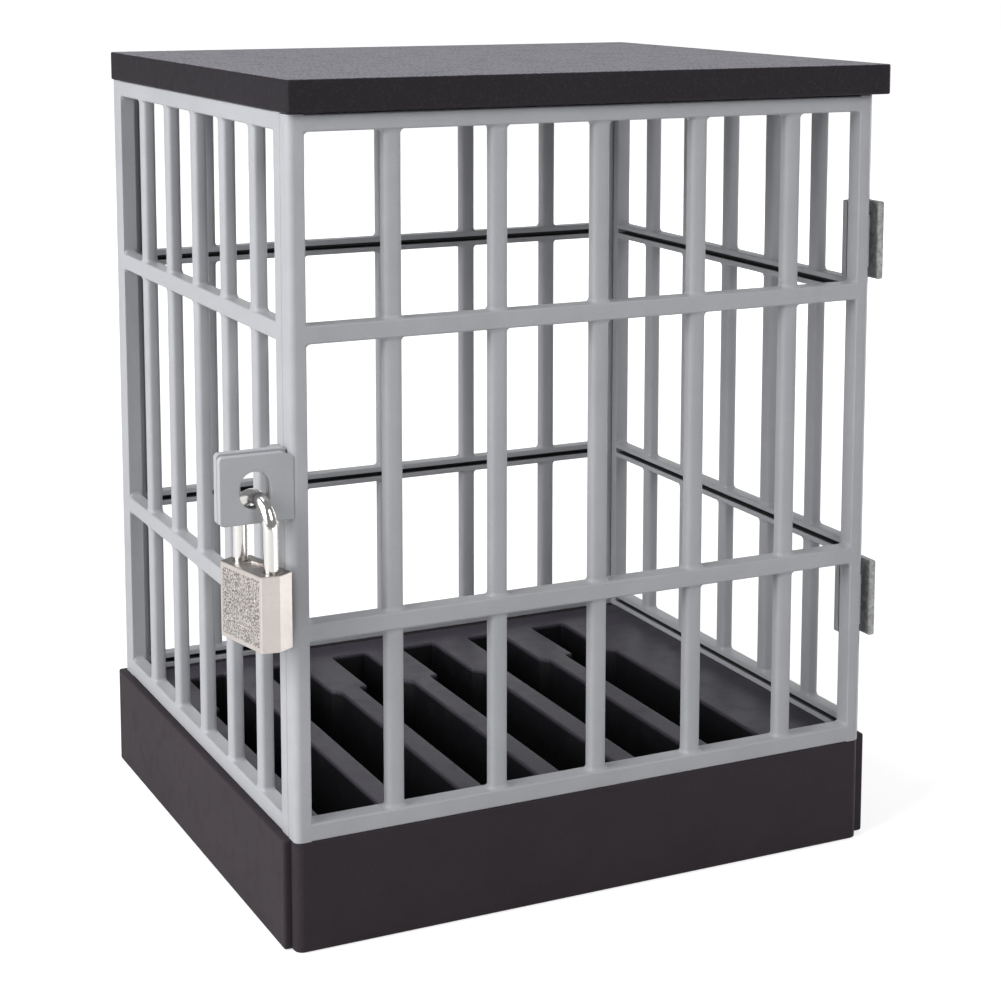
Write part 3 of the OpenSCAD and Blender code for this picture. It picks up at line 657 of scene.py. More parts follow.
def flared(shape, centres, width, thick, through, cells, cove):
    """Bars that widen into the rails. Half width = w/2 + c - sqrt(c^2 - (c - d)^2) at distance
    d < c from a rail, and each section is |x/a|^p + |y/b|^p = 1. Each cell has its own length
    of bar, which ends inside the rails before their groove."""
    count, power, root = 28, 3.4, 0.9 * MM
    most, reach, skin = mm(0.45, 1.3, 0.12)
    d = cove * (1 - np.cos(np.linspace(0, np.pi / 2, 7)))
    near = np.concatenate([[0], d, d[::-1], [0]])
    flare = cove - np.sqrt(np.maximum(cove ** 2 - np.maximum(cove - near, 0) ** 2, 0))
    room = max(0.0, through / 2 - thick / 2 - skin)
    swell = min(most, room) * np.clip(1 - near / reach, 0, 1) ** 2
    a, b = (width / 2 + flare)[:, None], (thick / 2 + swell)[:, None]
    f = np.arange(count) * 2 * np.pi / count
    x, y = (np.sign(v) * np.abs(v) ** (2 / power) for v in (np.cos(f), np.sin(f)))
    for low, high in cells:
        rows = np.concatenate([[low - root], low + d, high - d[::-1], [high + root]])[:, None]
        for centre in centres:
            shape.rings(np.stack([centre + a * x, np.repeat(rows, count, 1),
                                  through / 2 + b * y], -1))


def rail(shape, u0, u1, z0, z1, t):
    """A rail: its section has rounded outer edges and a groove along the inside, whose points
    are marked as deep, so that the finish paints shade in the groove."""
    groove_wide, groove_deep, draft = mm(1.4, 2.9, 0.05)
    g0, g1 = (z0 + z1 - groove_wide) / 2, (z0 + z1 + groove_wide) / 2
    section = soften([(z0, 0), (z1, 0), (z1, t), (g1, t), (g1 - draft, t - groove_deep),
                      (g0 + draft, t - groove_deep), (g0, t), (z0, t)],
                     mm(0.5, 0.5, 0.3, 0.12, 0.15, 0.15, 0.12, 0.3), 3)
    start = len(shape.points)
    slab(shape, section, u0, u1, 0.05 * MM, 1)
    z, y, _ = shape.points[-1].T
    near, skin = 0.01 * MM, 0.2 * MM
    # Points inside the groove are marked for painted shade.
    shape.deep[-1] = ((z > g0 - near) & (z < g1 + near) & (y > skin) & (y < t - skin)).astype(float)
    shape.move(lambda p: p[:, [2, 0, 1]], start)


def post(shape, outline, z0, z1, edge=0.15 * MM):
    """A post with a given section in (along, through)."""
    start = len(shape.points)
    slab(shape, outline, z0, z1, edge, 2)
    shape.move(upright, start)


def grooved_post(u0, u1, t, outer):
    """Section of a post: outer = radii of its two outer edges, with a groove in the inner
    face. Its face lies a hair behind the rails', which cross it."""
    middle, (half, draft, deep, skin) = (u0 + u1) / 2, mm(0.55, 0.1, 1.7, 0.02)
    g0, g1 = middle - half, middle + half
    return soften([(u0, skin), (u1, skin), (u1, t), (g1, t), (g1 - draft, t - deep),
                   (g0 + draft, t - deep), (g0, t), (u0, t)],
                  [*outer, *mm(0.35, 0.15, 0.1, 0.1, 0.15, 0.35)])


def lattice(shape, s, t, height, ends, posts, bars):
    """What lies between two posts: rails from end to end, bars at their places, and the posts'
    coves, which are narrow bars in the posts' sides that only show where they flare."""
    cells, inside, skin = cells_of(s), 0.2 * MM, 0.03 * MM
    for z0, z1 in zip([skin, *cells[:, 1]], [*cells[:, 0], height - skin]):
        rail(shape, *ends, z0, z1, t - 0.08 * MM)
    flared(shape, bars, s.bar_width, s.bar_thick, t, cells, s.cove)
    flared(shape, [posts[0] - inside, posts[1] + inside], 0.3 * MM, t - 1.2 * MM, t, cells,
           s.post_cove)


def wall(s, run, posts, radii, bars):
    """A whole wall: two posts with their widths and outer radii, and the lattice between."""
    shape, t, inner, inside = Shape(), s.wall_thick, 0.3 * MM, 0.1 * MM
    last = run - posts[1]
    post(shape, grooved_post(0, posts[0], t, (radii[0], inner)), 0, s.grille_height)
    post(shape, grooved_post(last, run, t, (inner, radii[1])), 0, s.grille_height)
    lattice(shape, s, t, s.grille_height, (radii[0] + inside, run - radii[1] - inside),
            (posts[0], last), bars)
    return shape


class CAGE_OT_walls(bpy.types.Operator):
    """Builds the left, right and back grille walls"""
    bl_idname = "lock_cage.walls"
    bl_label = "Grille walls"

    def execute(self, context):
        s = context.scene.cage_sizes
        t, y0, foot = s.wall_thick, s.door_thick + s.door_gap, s.plinth_height
        bars = np.linspace(s.side_first, s.cage_depth - s.side_last, s.bars) - y0
        for name, x, across in (("left", 0, (1, 0, 0)), ("right", s.cage_width, (-1, 0, 0))):
            side = wall(s, s.cage_depth - y0, (s.post_width, s.rear_post), mm(0.5, 0.9), bars)
            build(side, name + "_grille", "grille plastic", "cage", [name + "_wall"],
                  panel_map((x, y0, foot), (0, 1, 0), across))
        bars = np.linspace(s.wide_first, s.door_width - s.wide_last, s.bars) - t
        back = wall(s, s.cage_width - 2 * t, (s.post_width,) * 2, mm(0.3, 0.3), bars)
        build(back, "back_grille", "grille plastic", "cage", ["back_wall"],
              panel_map((t, s.cage_depth, foot), (1, 0, 0), (0, -1, 0)))
        return {"FINISHED"}


class CAGE_OT_door(bpy.types.Operator):
    """Builds the grille door with its knuckles"""
    bl_idname = "lock_cage.door"
    bl_label = "Door"

    def execute(self, context):
        s, d = context.scene.cage_sizes, context.scene.cage_details
        w, t, foot, gap = s.door_width, s.door_thick, s.plinth_height, s.door_gap
        height = s.grille_height - gap
        shape = Shape()
        round_edge, edge, skin, head, overlap = mm(1.7, 0.35, 0.02, 1.9, 0.1)
        post(shape, grooved_post(0, s.post_width, t, (round_edge, edge)), 0, height)
        # right stile, with rooms for the brackets' arms
        u0, ax = w - s.post_width, d.axis_x
        solid = soften([(u0, skin), (w, skin), (w, t), (u0, t)], mm(0.35, 1.9, 0.95, 0.35), 5)
        room = soften([(u0, skin), (ax, skin), (ax, 0.8 * MM), (ax - 1.5 * MM, 1.5 * MM),
                       (ax - 2.15 * MM, 3 * MM), (ax - 2.15 * MM, t), (u0, t)],
                      mm(0.35, 0.2, 0.2, 0.3, 0.3, 0.2, 0.35))
        arm, tall = d.arm_height + gap, d.bracket_height
        low, high = d.lower_bracket - foot, d.upper_bracket - foot
        cuts = [(low - head, low + arm), (low + tall - arm, low + tall + gap),
                (high - gap, high + arm), (high + tall - arm, high + tall + head)]
        marks = [0.0, *(v for cut in cuts for v in cut), height]
        for z0, z1 in zip(marks[::2], marks[1::2]):
            post(shape, solid, z0, z1, 0.05 * MM)
        for z0, z1 in cuts:
            post(shape, room, z0 - overlap, z1 + overlap, skin)
        # knuckles round the pins
        start, bore, knuckle = len(shape.points), d.pin_radius + 0.05 * MM, 2 * MM
        for z in (low, high):
            lathe(shape, rect(bore, knuckle, z + arm, z + tall - arm, 0.15 * MM, 3),
                  (ax, d.axis_y), loop=True)
        shape.move(upright, start)
        lattice(shape, s, t, height, (round_edge + overlap, w - knuckle), (s.post_width, u0),
                np.linspace(s.wide_first, w - s.wide_last, s.bars))
        build(shape, "door_grille", "grille plastic", "door", ["door"],
              panel_map((0, 0, foot), (1, 0, 0), (0, 1, 0)))
        return {"FINISHED"}


def ear_plate(d, y, right, chamfer, taller=0.0):
    """An ear: a pierced plate with rounded corners, whose top right corner is chamfered."""
    low, high, r = d.ear_bottom, d.ear_bottom + d.ear_height, d.ear_hole
    x, top = -8.6 * MM, (low + high) / 2 + 0.3 * MM + r
    high += taller
    hole = rect(x - r, x + r, top - 2 * r - d.ear_slot, top, r - 0.01 * MM, 10)
    corners = [(-d.ear_reach, low), (right, low), (right, high - chamfer),
               (min(right, 0) - chamfer * 1.4 - 0.2 * MM, high), (-d.ear_reach, high)]
    shape = Shape()
    pierced(shape, soften(corners, mm(1, 0.3, 0.4, 0.5, 1), 5), y, y + d.ear_thick, [hole],
            edge=0.22 * MM, lip=0.25 * MM)
    shape.move(upright)
    return shape


class CAGE_OT_ears(bpy.types.Operator):
    """Builds the two locking ears"""
    bl_idname = "lock_cage.ears"
    bl_label = "Locking ears"

    def execute(self, context):
        s, d = context.scene.cage_sizes, context.scene.cage_details
        front = ear_plate(d, 0.06 * MM, right=0.75 * MM, chamfer=1.3 * MM)
        build(front, "front_ear", "grille plastic", "door", ["door_ear"], drawn)
        y, wide, inside = d.ear_thick + 0.4 * MM, 3.2 * MM, 0.15 * MM
        rear = ear_plate(d, y, right=-s.door_gap, chamfer=0.5 * MM, taller=0.5 * MM)
        # the rear ear's foot beside the wall's post
        y1, y0 = y + 0.9 * MM, s.door_thick + s.door_gap
        y2 = y0 + s.post_width
        foot = soften([(-wide, y1), (-s.door_gap, y1), (-s.door_gap, y0), (-0.02 * MM, y0),
                       (-0.02 * MM, y2), (-wide / 2, y2), (-wide, y0 + 2.4 * MM)],
                      mm(0.3, 0.05, 0.05, 0.05, 0.2, 0.6, 0.8))
        slab(rear, foot, d.ear_bottom + inside, d.ear_bottom + d.ear_height - inside, 0.3 * MM)
        build(rear, "rear_ear", "grille plastic", "cage", ["wall_ear"], drawn)
        return {"FINISHED"}


# Plinth, floor and roof


# Axes of the four screws under the plinth.
BOSSES = [(x * MM, y * MM) for y in (9, 133.2) for x in (4.9, 153)]
# The floor's seat in the plinth: left, right, front and back, and how deep it is.
SEAT = mm(5.6, 160, 7.5, 136.6)
SEAT_DEEP = 2.2 * MM


def grown(box, by):
    """A box (left, right, front, back) that is larger by so much on each side."""
    return box + by * np.array([-1, 1, -1, 1])


class CAGE_OT_plinth(bpy.types.Operator):
    """Builds the plinth's shell, front panel and bottom plate"""
    bl_idname = "lock_cage.plinth"
    bl_label = "Plinth"

    def execute(self, context):
        s = context.scene.cage_sizes
        h, w = s.plinth_height, s.door_width
        left, right, front, back, side, shelf, play = mm(1.9, 0.6, 3.4, 1.4, 2.4, 2, 0.15)
        outside = np.array([-left, s.cage_width + right, front, s.cage_depth + back])
        shape = Shape()
        body = rect(*outside, 0.7 * MM, 5)
        rebate = rect(*SEAT, 0.5 * MM, 5)
        hole = rect(*grown(SEAT, -shelf), 0.5 * MM, 5)
        inner = rect(*grown(outside, -side), 0.5 * MM, 5)
        under = h - 2 * SEAT_DEEP
        shape.rings([at_height(rebate, h), *skirt(body, 0, h, 0.55 * MM)[::-1],
                     at_height(inner, 0), at_height(inner, under), at_height(hole, under),
                     at_height(hole, h - SEAT_DEEP), at_height(rebate, h - SEAT_DEEP)], loop=True)
        boss, bore, foot, edge, deep, down = mm(2.9, 1.25, 10.9, 0.3, 2.1, 4)
        for place in BOSSES:
            lathe(shape, [(boss, h - down), (boss, foot + edge), (boss - edge, foot),
                          (bore, foot), (bore, foot + deep)], place)
        build(shape, "plinth_body", "plinth plastic", "cage", ["plinth_shell"],
              drawn)
        shape, behind = Shape(), front - 0.1 * MM
        slab(shape, soften([(0, 0), (w, 0), (w, behind), (0, behind)], mm(2.2, 2.2, 0.1, 0.1), 8),
             0, h, 0.4 * MM)
        build(shape, "plinth_panel", "plinth plastic", "cage", ["plinth_front"],
              drawn)
        shape = Shape()
        sink, deep, thick = mm(2.55, 1.15, 2)
        pierced(shape, rect(*grown(outside, -side - play), 0.8 * MM, 5), 0, thick,
                bottom=[(circle(x, y, sink), deep) for x, y in BOSSES], edge=0.25 * MM)
        build(shape, "base_plate", "plinth plastic", "cage", ["bottom_plate"],
              drawn)
        return {"FINISHED"}


class CAGE_OT_screws(bpy.types.Operator):
    """Builds the four screws under the plinth"""
    bl_idname = "lock_cage.screws"
    bl_label = "Screws"

    def execute(self, context):
        shape = Shape()
        a, b = 0.28, 1.45
        cross = mm((-a, -b), (a, -b), (a, -a), (b, -a), (b, a), (a, a), (a, b), (-a, b), (-a, a),
                   (-b, a), (-b, -a), (-a, -a))
        for x, y in BOSSES:
            start = len(shape.points)
            pierced(shape, circle(0, 0, 2.4 * MM), 0.15 * MM, 1.15 * MM,
                    bottom=[(soften(cross, 0.05 * MM, 2), 0.55 * MM)], lip=0.05 * MM)
            lathe(shape, mm((1.2, 0.9), (1.2, 8.6), (0.7, 9.15)), (0, 0))
            shape.move(lambda p, x=x, y=y: p + [x, y, 0], start)
        build(shape, "base_screws", "steel", "cage", ["bottom_screws"], drawn)
        return {"FINISHED"}


class CAGE_OT_floor(bpy.types.Operator):
    """Builds the slotted floor"""
    bl_idname = "lock_cage.floor"
    bl_label = "Slotted floor"

    def execute(self, context):
        s, d = context.scene.cage_sizes, context.scene.cage_details
        h, deep, w, first = s.plinth_height, d.slot_depth, d.slot_width, d.slot_first
        front, back, narrow, step, skin = mm(14, 16.2, 28, 2.4, 1.2)
        edge, lip, root = mm(0.3, 0.45, 0.4)
        run = s.cage_depth - back - front
        wide = run - narrow
        one = soften([(0, 0), (w, 0), (w, wide - step), (w - step, wide), (w - step, run),
                      (step, run), (step, wide), (0, wide)],
                     mm(1, 1, 0.6, 0.6, 0.8, 0.8, 0.5, 0.5))
        slots = [one + [first + i * d.slot_pitch, front] for i in range(d.slots)]
        plate = rect(*grown(SEAT, -0.15 * MM), 0.8 * MM, 5)
        last = first + (d.slots - 1) * d.slot_pitch + w
        block = rect(*grown(np.array([first, last, front, front + run]), skin), 0.8 * MM, 5)
        under = h - SEAT_DEEP
        shape = Shape()
        shape.rings(rim(plate, h, edge, -1) + [at_height(plate, under), at_height(block, under),
                                               at_height(block, h - deep - skin)],
                    caps=(False, True))
        shape.fill([inset(plate, edge)] + [inset(slot, -lip) for slot in slots], h)
        for slot in slots:
            pocket = rim(slot, h, lip, -1, 3, -1) + [at_height(slot, h - deep + root),
                                                     at_height(inset(slot, root), h - deep)]
            shape.rings(pocket, caps=(False, True))
        build(shape, "slotted_floor", "floor plastic", "cage", ["floor_tray"],
              drawn)
        return {"FINISHED"}


class CAGE_OT_roof(bpy.types.Operator):
    """Builds the roof"""
    bl_idname = "lock_cage.roof"
    bl_label = "Roof"

    def execute(self, context):
        s, d = context.scene.cage_sizes, context.scene.cage_details
        z0 = s.plinth_height + s.grille_height
        z1 = z0 + d.roof_thick
        rim_wide, skin, edge, root = mm(9, 2.4, 0.4, 0.5)
        outer = rect(-d.roof_side, s.cage_width + d.roof_side, -d.roof_front, s.cage_depth,
                     1 * MM, 6)
        room = rect(rim_wide, s.cage_width - rim_wide, rim_wide, s.cage_depth - rim_wide,
                    1.5 * MM, 6)
        shape = Shape()
        shape.rings([at_height(inset(room, root), z1 - skin), at_height(room, z1 - skin - root),
                     at_height(room, z0 + edge), at_height(inset(room, -edge), z0),
                     *skirt(outer, z0, z1, edge)])
        build(shape, "roof_slab", "roof plastic", "cage", ["roof_cover"], drawn)
        return {"FINISHED"}


# Hinges


class CAGE_OT_hinges(bpy.types.Operator):
    """Builds the hinge brackets and their pins"""
    bl_idname = "lock_cage.hinges"
    bl_label = "Hinges"

    def execute(self, context):
        s, d = context.scene.cage_sizes, context.scene.cage_details
        ax, ay, tall, arm = d.axis_x, d.axis_y, d.bracket_height, d.arm_height
        y0, face, r = s.door_thick + s.door_gap, s.cage_width, d.pin_radius
        y1 = y0 + s.post_width
        # seen from above: plate outside the wall, bridge through the post's seat, web inside
        # the wall, and the arms' lugs round the pin
        hair, lug_r = 0.15 * MM, 1.8 * MM
        x0, x1, x2, x3 = ax + 3.8 * MM, ax + 5.8 * MM, face + hair, face - s.wall_thick - hair
        plate = soften([(x0, 1 * MM), (x1, 1 * MM), (x1, y1), (x2, y1), (x2, y0 + 2 * MM),
                        (x0, y0 + 1.9 * MM)], mm(0.5, 0.6, 0.7, 0.1, 0.1, 0.1))
        bridge = rect(ax - lug_r, ax + 5 * MM, y0 + 0.05 * MM, y0 + 2 * MM, 0.2 * MM)
        web = soften([(ax - lug_r, y0), (x3, y0), (x3, y1), (ax - lug_r, y1)],
                     mm(0.2, 0.05, 0.05, 0.6))
        turn = np.linspace(np.pi, 2 * np.pi, 17)
        lug = np.vstack([np.stack([ax + lug_r * np.cos(turn), ay + lug_r * np.sin(turn)], -1),
                         [(ax + lug_r, y0 + 0.5 * MM), (ax - lug_r, y0 + 0.5 * MM)]])
        # the pin: a point, the rod and a domed head over it
        head, dome = mm(1.6, 0.5)
        v = np.linspace(0, np.pi / 2, 6)[:-1]
        crown = np.stack([dome * np.cos(v), tall + dome * np.sin(v)], -1) + head - dome
        pin = np.vstack([[(0.7 * r, 0), (r, 0.3 * MM), (r, tall), (head, tall + 0.02 * MM)], crown,
                         [(0.4 * MM, tall + head)]])
        for name, z, upside in (("upper", d.upper_bracket, 1), ("lower", d.lower_bracket, -1)):
            shape = Shape()
            slab(shape, plate, z, z + tall, 0.45 * MM)
            build(shape, name + "_bracket", "bracket plastic", "cage", [name + "_hinge_bracket"],
                  drawn)
            shape = Shape()
            slab(shape, bridge, z + 0.03 * MM, z + tall - 0.03 * MM, 0.2 * MM)
            slab(shape, web, z + 0.02 * MM, z + tall - 0.02 * MM, 0.3 * MM)
            for low in (z, z + tall - arm):
                pierced(shape, lug, low, low + arm, [circle(ax, ay, r + 0.05 * MM, 24)],
                        edge=0.15 * MM, lip=0.08 * MM)
            build(shape, name + "_hinge_web", "grille plastic", "cage", [],
                  drawn)
            shape = Shape()
            lathe(shape, pin * [1, upside] + [0, z if upside > 0 else z + tall], (ax, ay))
            build(shape, name + "_pin", "steel", "cage", [name + "_hinge_pin"], drawn)
        return {"FINISHED"}


# Padlock


def hung(k):
    """Moves the padlock's own coordinates (thickness, width, height) to where it hangs."""
    c, n = np.cos(k.yaw), np.sin(k.yaw)
    turn = np.array([[c, n, 0], [-n, c, 0], [0, 0, 1]])
    place = np.array([-8.1 * MM, 2.2 * MM, k.top])
    return lambda p: drawn(p @ turn + place)


def lock_outline(k):
    """The lock body from above: flat broad faces and narrow sides that rise to a ridge."""
    w, t, r = k.width / 2, k.thick / 2, k.ridge
    return soften([(-t, -w + r), (0, -w), (t, -w + r), (t, w - r), (0, w), (-t, w - r)],
                  mm(0.35, 0.3, 0.35, 0.35, 0.3, 0.35), 3)


def hammered_face(k, side):
    """A broad face's panel: height = edge window times a sum of plane waves, on a grid of
    width by height, closed at the back."""
    nu, nv, waves = 124, 118, 26
    u, v = np.meshgrid(np.linspace(-1, 1, nu), np.linspace(-1, 1, nv), indexing="ij")
    border_y, border_z, fade = 0.55 * MM, 0.75 * MM, 0.07
    rise, swing, sink, behind = 0.015, 0.03, 0.06 * MM, 0.5 * MM
    y = u * (k.width / 2 - k.ridge - border_y)
    z = v * (k.height / 2 - border_z)
    rng = np.random.default_rng(7)
    a = rng.uniform(0, 2 * np.pi, waves)
    f = rng.uniform(6.5, 10.5, waves) * 1000
    ph = rng.uniform(0, 2 * np.pi, waves)
    wave = np.cos(y[..., None] * f * np.cos(a) + z[..., None] * f * np.sin(a) + ph).sum(-1)
    wave = np.tanh(wave / 4.5)
    window = np.clip((1 - np.maximum(np.abs(u), np.abs(v))) / fade, 0, 1)
    window = window * window * (3 - 2 * window)
    out = k.thick / 2 + window * (rise + swing * wave) * MM - sink * (1 - window)
    front = np.stack([side * out, y, z - k.height / 2], -1)
    index = np.arange(nu * nv).reshape(nu, nv)
    quads = np.stack([index[:-1, :-1], index[1:, :-1], index[1:, 1:], index[:-1, 1:]], -1)
    loop = np.concatenate([index[:, 0], index[-1, 1:], index[-2::-1, -1], index[0, -2:0:-1]])
    back = front.reshape(-1, 3)[loop] * [0, 1, 1] + [side * (k.thick / 2 - behind), 0, 0]
    base, n = nu * nv, len(loop)
    ring = np.arange(n)
    sides = np.stack([loop, loop[(ring + 1) % n], base + (ring + 1) % n, base + ring], -1)
    shape = Shape()
    shape.add(np.vstack([front.reshape(-1, 3), back]),
              quads.reshape(-1, 4).tolist() + sides.tolist() + [list(range(base, base + n))])
    return shape


class CAGE_OT_padlock(bpy.types.Operator):
    """Builds the shackle, the lock body with its hammered faces, and its cap"""
    bl_idname = "lock_cage.padlock"
    bl_label = "Padlock"

    def execute(self, context):
        k = context.scene.lock_sizes
        place, straight, bend = hung(k), k.rise - k.bend, k.bend
        toe, heel = mm(6.2, 9.6)
        a = np.linspace(0, np.pi, 41)
        down = np.linspace(-toe, straight, 34)[:-1]
        up = np.linspace(straight, -heel, 22)[1:]
        path = np.column_stack([np.zeros(len(down) + len(a) + len(up)),
                                np.concatenate([0 * down - bend, -bend * np.cos(a), 0 * up + bend]),
                                np.concatenate([down, straight + bend * np.sin(a), up])])
        radius = np.full(len(path), k.rod)
        for ends, chamfer in (([0, -1], 0.45 * MM), ([1, -2], 0.08 * MM)):
            radius[ends] -= chamfer
        shape = Shape()
        sweep(shape, path, (1, 0, 0), radius)
        # the latch's notch in the short leg
        p, (high, low, flat) = shape.points[0], mm(-1.2, -5.6, 0.85)
        notch = (p[:, 1] < 0) & (p[:, 2] < high) & (p[:, 2] > low)
        p[notch, 1] = np.minimum(p[notch, 1], -bend + flat)
        build(shape, "lock_shackle", "chrome", "shackle", ["shackle"], place, 50)
        shape = Shape()
        leg, short, long, sunk, seat_deep = k.rod + 0.15 * MM, *mm(7, 12, 0.45, 1.4)
        lens = soften(mm((-1.1, -4.1), (1.1, -4.1), (2, 0), (1.1, 4.1), (-1.1, 4.1), (-2, 0)),
                      mm(1, 1, 4, 1, 1, 4))
        tops = [(circle(0, -bend, leg), short), (circle(0, bend, leg), long), (lens, sunk)]
        seat = rect(*mm(-3.15, 3.15, -9, 9, 1))
        pierced(shape, lock_outline(k), -k.height, 0, top=tops, bottom=[(seat, seat_deep)],
                lip=0.12 * MM)
        build(shape, "lock_case", "satin nickel", "lock", ["lock_body"], place, 25)
        for side, name in ((-1, "outer"), (1, "inner")):
            build(hammered_face(k, side), "lock_face_" + name, "hammered nickel", "lock", [],
                  place, 60)
        shape = Shape()
        play, keyway = 0.02 * MM, circle(0, -1 * MM, 2.6 * MM, 40)
        pierced(shape, rect(*mm(-3.05, 3.05, -8.9, 8.9, 0.95)), -k.height + play,
                -k.height + seat_deep - play, [keyway], edge=0.2 * MM)
        build(shape, "lock_foot", "satin nickel", "lock", ["lock_cap"], place)
        return {"FINISHED"}


class CAGE_OT_works(bpy.types.Operator):
    """Finishes the plug, latch and pins, and winds the springs inside the padlock"""
    bl_idname = "lock_cage.works"
    bl_label = "Lock works"

    def execute(self, context):
        k = context.scene.lock_sizes
        place = hung(k)
        for node, name in (("lock_plug", "brass"), ("key_pins", "brass"), ("driver_pins", "brass"),
                           ("lock_latch", "steel")):
            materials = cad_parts[node].data.materials
            materials.clear()
            materials.append(finish_of(name))
        shape = Shape()
        coil(shape, (0, k.bend, -15.68 * MM), (0, 0, 1), radius=1.3 * MM, wire=0.22 * MM,
             height=6.06 * MM, turns=7)
        spring = build(shape, "shackle_coil", "steel", None, ["shackle_spring"],
                       place)
        foot, tip = place(np.array([[0, k.bend, -15.5 * MM], [0, k.bend, -9.8 * MM]]))
        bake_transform(spring)
        shape = Shape()
        coil(shape, mm(-1.4, 0.02, -2.4), (0, 1, 0), radius=0.58 * MM, wire=0.13 * MM,
             height=4.5 * MM, turns=5)
        spring = build(shape, "latch_coil", "steel", "lock", ["latch_spring"],
                       place)
        seat, near = place(mm((-1.4, 4.54, -2.4), (-1.4, 3.54, -2.4)))
        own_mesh(spring)
        shape = Shape()
        for z in (-9.6, -11.9, -14.2):
            coil(shape, mm(0, -6.4, z), (0, -1, 0), radius=0.42 * MM, wire=0.1 * MM,
                 height=2.9 * MM, turns=7)
        build(shape, "tumbler_coils", "steel", "lock", ["tumbler_springs"], place)
        return {"FINISHED"}


# Stage


def seen_directly(t, straight, mirrored):
    """One strength for camera and glass rays, another for mirror rays, none for the rest."""
    path = t.node("ShaderNodeLightPath").outputs
    direct = t.sums("MAXIMUM", path["Is Camera Ray"], path["Is Transmission Ray"])
    return t.plus(t.times(direct, straight), t.times(path["Is Glossy Ray"], mirrored))


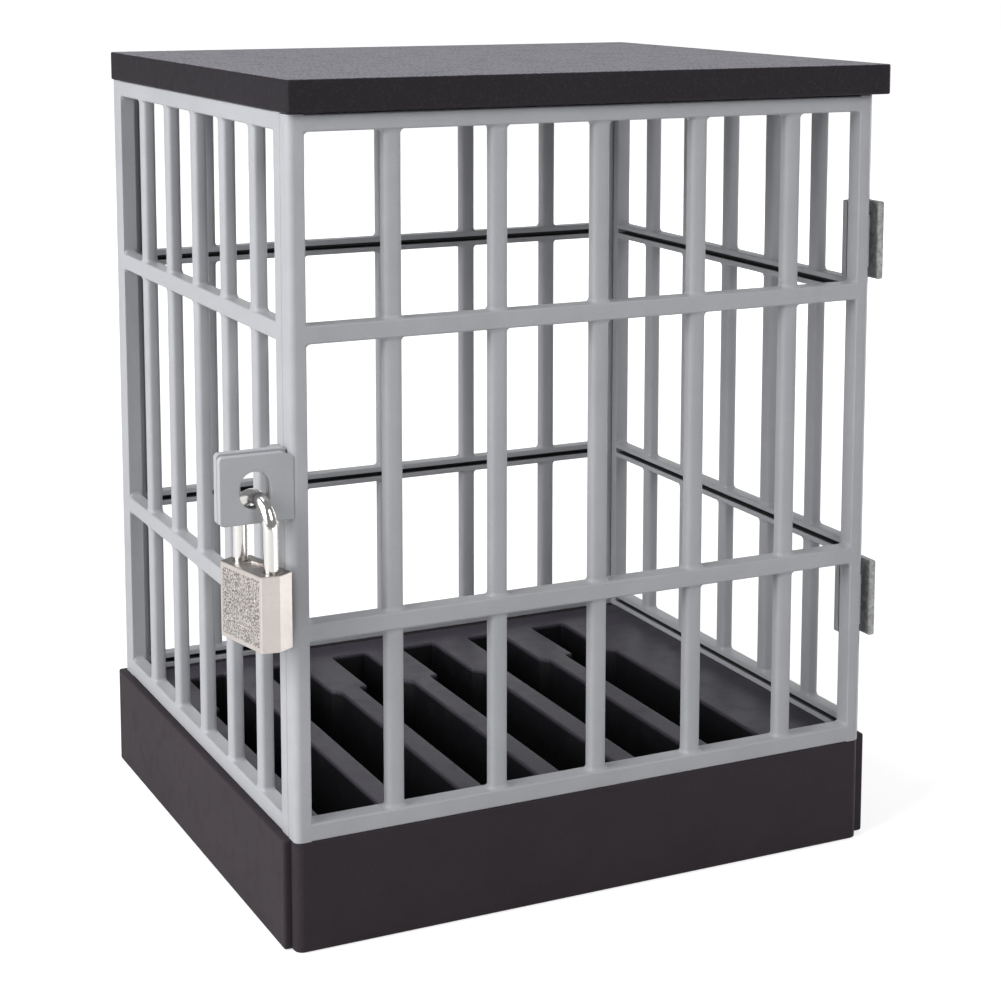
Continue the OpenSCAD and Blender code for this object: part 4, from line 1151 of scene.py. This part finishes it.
class CAGE_OT_stage(bpy.types.Operator):
    """Sets the floor, world, lights and camera"""
    bl_idname = "lock_cage.stage"
    bl_label = "Stage"

    def execute(self, context):
        scene = context.scene
        scene.view_settings.view_transform = "Standard"
        # floor: a pale matt sheet that glows a little for the rays that see it directly
        mesh = bpy.data.meshes.new("studio_floor")
        count, radius, low = 96, 6.0, -0.0002
        mesh.from_pydata(at_height(circle(0, 0, radius, count), low).tolist(), [],
                         [list(range(count))])
        floor = bpy.data.objects.new("studio_floor", mesh)
        scene.collection.objects.link(floor)
        material, t, shader, place = begin("studio floor")
        grain = use(t, moulded_grain, place, 220.0)["Height"]
        t.link(t.mix(grain, (0.60, 0.60, 0.605), (0.62, 0.62, 0.62)), shader["Base Color"])
        shader["Roughness"].default_value = 0.9
        shader["Specular IOR Level"].default_value = 0.0
        away = t.node("ShaderNodeVectorMath", {0: place}, operation="LENGTH").outputs["Value"]
        across = t.node("ShaderNodeSeparateXYZ", {0: place}).outputs["X"]
        white, card = t.ramp(away, 0.2, 1.2, 0.62, 1.0), t.ramp(across, 0.0, 0.2, 0.3, 2.0)
        glow = t.node("ShaderNodeEmission", {
            "Color": (1, 1, 1), "Strength": t.times(white, seen_directly(t, 1.0, card))})
        nodes = t.tree.nodes
        both = t.node("ShaderNodeAddShader", {0: nodes["Principled BSDF"].outputs[0],
                                              1: glow.outputs[0]})
        t.link(both.outputs[0], nodes["Material Output"].inputs["Surface"])
        mesh.materials.append(material)
        # world: white where it is seen, softer where it lights
        scene.world = bpy.data.worlds.new("studio")
        scene.world.use_nodes = True
        t = Tree(scene.world.node_tree)
        sky = t.tree.nodes["Background"].inputs
        t.plug((1, 1, 1), sky["Color"])
        t.link(t.plus(seen_directly(t, 0.94, 0.2), 0.06), sky["Strength"])
        # white softboxes: place, what they look at, width and height, power
        key, fill = scene.cage_finish.key_power, scene.cage_finish.fill_power
        for name, place, aim, size, power in (
                ("left softbox", (-0.95, -0.15, 0.55), (-0.02, 0, 0.1), (0.8, 0.9), key),
                ("right softbox", (0.25, -0.95, 0.85), (0, 0, 0.1), (0.6, 0.6), fill),
                ("top softbox", (-0.1, 0.25, 1.15), (0, 0, 0.1), (0.8, 0.8), fill * 0.5),
                ("rear softbox", (0.75, 1.55, 0.45), (0, 0, 0.2), (1.6, 0.7), fill * 0.6),
                ("side softbox", (1.3, 0.35, 0.45), (0.05, 0, 0.1), (0.9, 0.7), fill * 1.1)):
            lamp = bpy.data.lights.new(name, "AREA")
            lamp.shape, lamp.energy = "RECTANGLE", power
            lamp.size, lamp.size_y = size
            box = bpy.data.objects.new(name, lamp)
            scene.collection.objects.link(box)
            box.location = place
            box.rotation_euler = (Vector(aim) - Vector(place)).to_track_quat("-Z", "Y").to_euler()
        # the photograph's view, with less shift of the lens, so that other views stay whole
        camera = bpy.data.cameras.new("camera")
        camera.lens, camera.sensor_width = 79.147, 36.0
        camera.shift_x, camera.shift_y = -0.02547, -0.25
        camera.clip_start, camera.clip_end = 0.02, 50.0
        eye = bpy.data.objects.new("camera", camera)
        scene.collection.objects.link(eye)
        eye.matrix_world = Matrix(((0.896992, 0.058371, -0.438174, -0.25144),
                                   (-0.442039, 0.123446, -0.888460, -0.54120),
                                   (0.002231, 0.990633, 0.136533, 0.23724),
                                   (0, 0, 0, 1)))
        scene.camera = eye
        return {"FINISHED"}


class CAGE_PT_sidebar(bpy.types.Panel):
    """Lists the cage's settings and the steps that build it"""
    bl_idname = "CAGE_PT_sidebar"
    bl_label = "Phone Lock Cage"
    bl_space_type = "VIEW_3D"
    bl_region_type = "UI"
    bl_category = "Lock Cage"

    def draw(self, context):
        layout = self.layout
        for kind in STEPS:
            layout.operator(kind.bl_idname)
        for name in ("cage_sizes", "cage_details", "lock_sizes", "cage_finish"):
            box = layout.box()
            settings = getattr(context.scene, name)
            for key in settings.__annotations__:
                box.prop(settings, key)


STEPS = (CAGE_OT_stage, CAGE_OT_plinth, CAGE_OT_screws, CAGE_OT_floor, CAGE_OT_walls,
         CAGE_OT_door, CAGE_OT_ears, CAGE_OT_hinges, CAGE_OT_roof, CAGE_OT_padlock, CAGE_OT_works)
SETTINGS = (("cage_sizes", CageSizes), ("cage_details", CageDetails), ("lock_sizes", LockSizes),
            ("cage_finish", CageFinish))


def register():
    """Registers the settings, the steps and the panel."""
    for name, kind in SETTINGS:
        bpy.utils.register_class(kind)
        setattr(bpy.types.Scene, name, PointerProperty(type=kind))
    for kind in STEPS + (CAGE_PT_sidebar,):
        bpy.utils.register_class(kind)


def unregister():
    """Takes them off again."""
    for kind in (CAGE_PT_sidebar,) + STEPS[::-1]:
        bpy.utils.unregister_class(kind)
    for name, kind in SETTINGS:
        delattr(bpy.types.Scene, name)
        bpy.utils.unregister_class(kind)


def main():
    """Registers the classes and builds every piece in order."""
    register()
    for kind in STEPS:
        getattr(bpy.ops.lock_cage, kind.bl_idname.split(".")[1])()


if __name__ == "__main__":
    main()
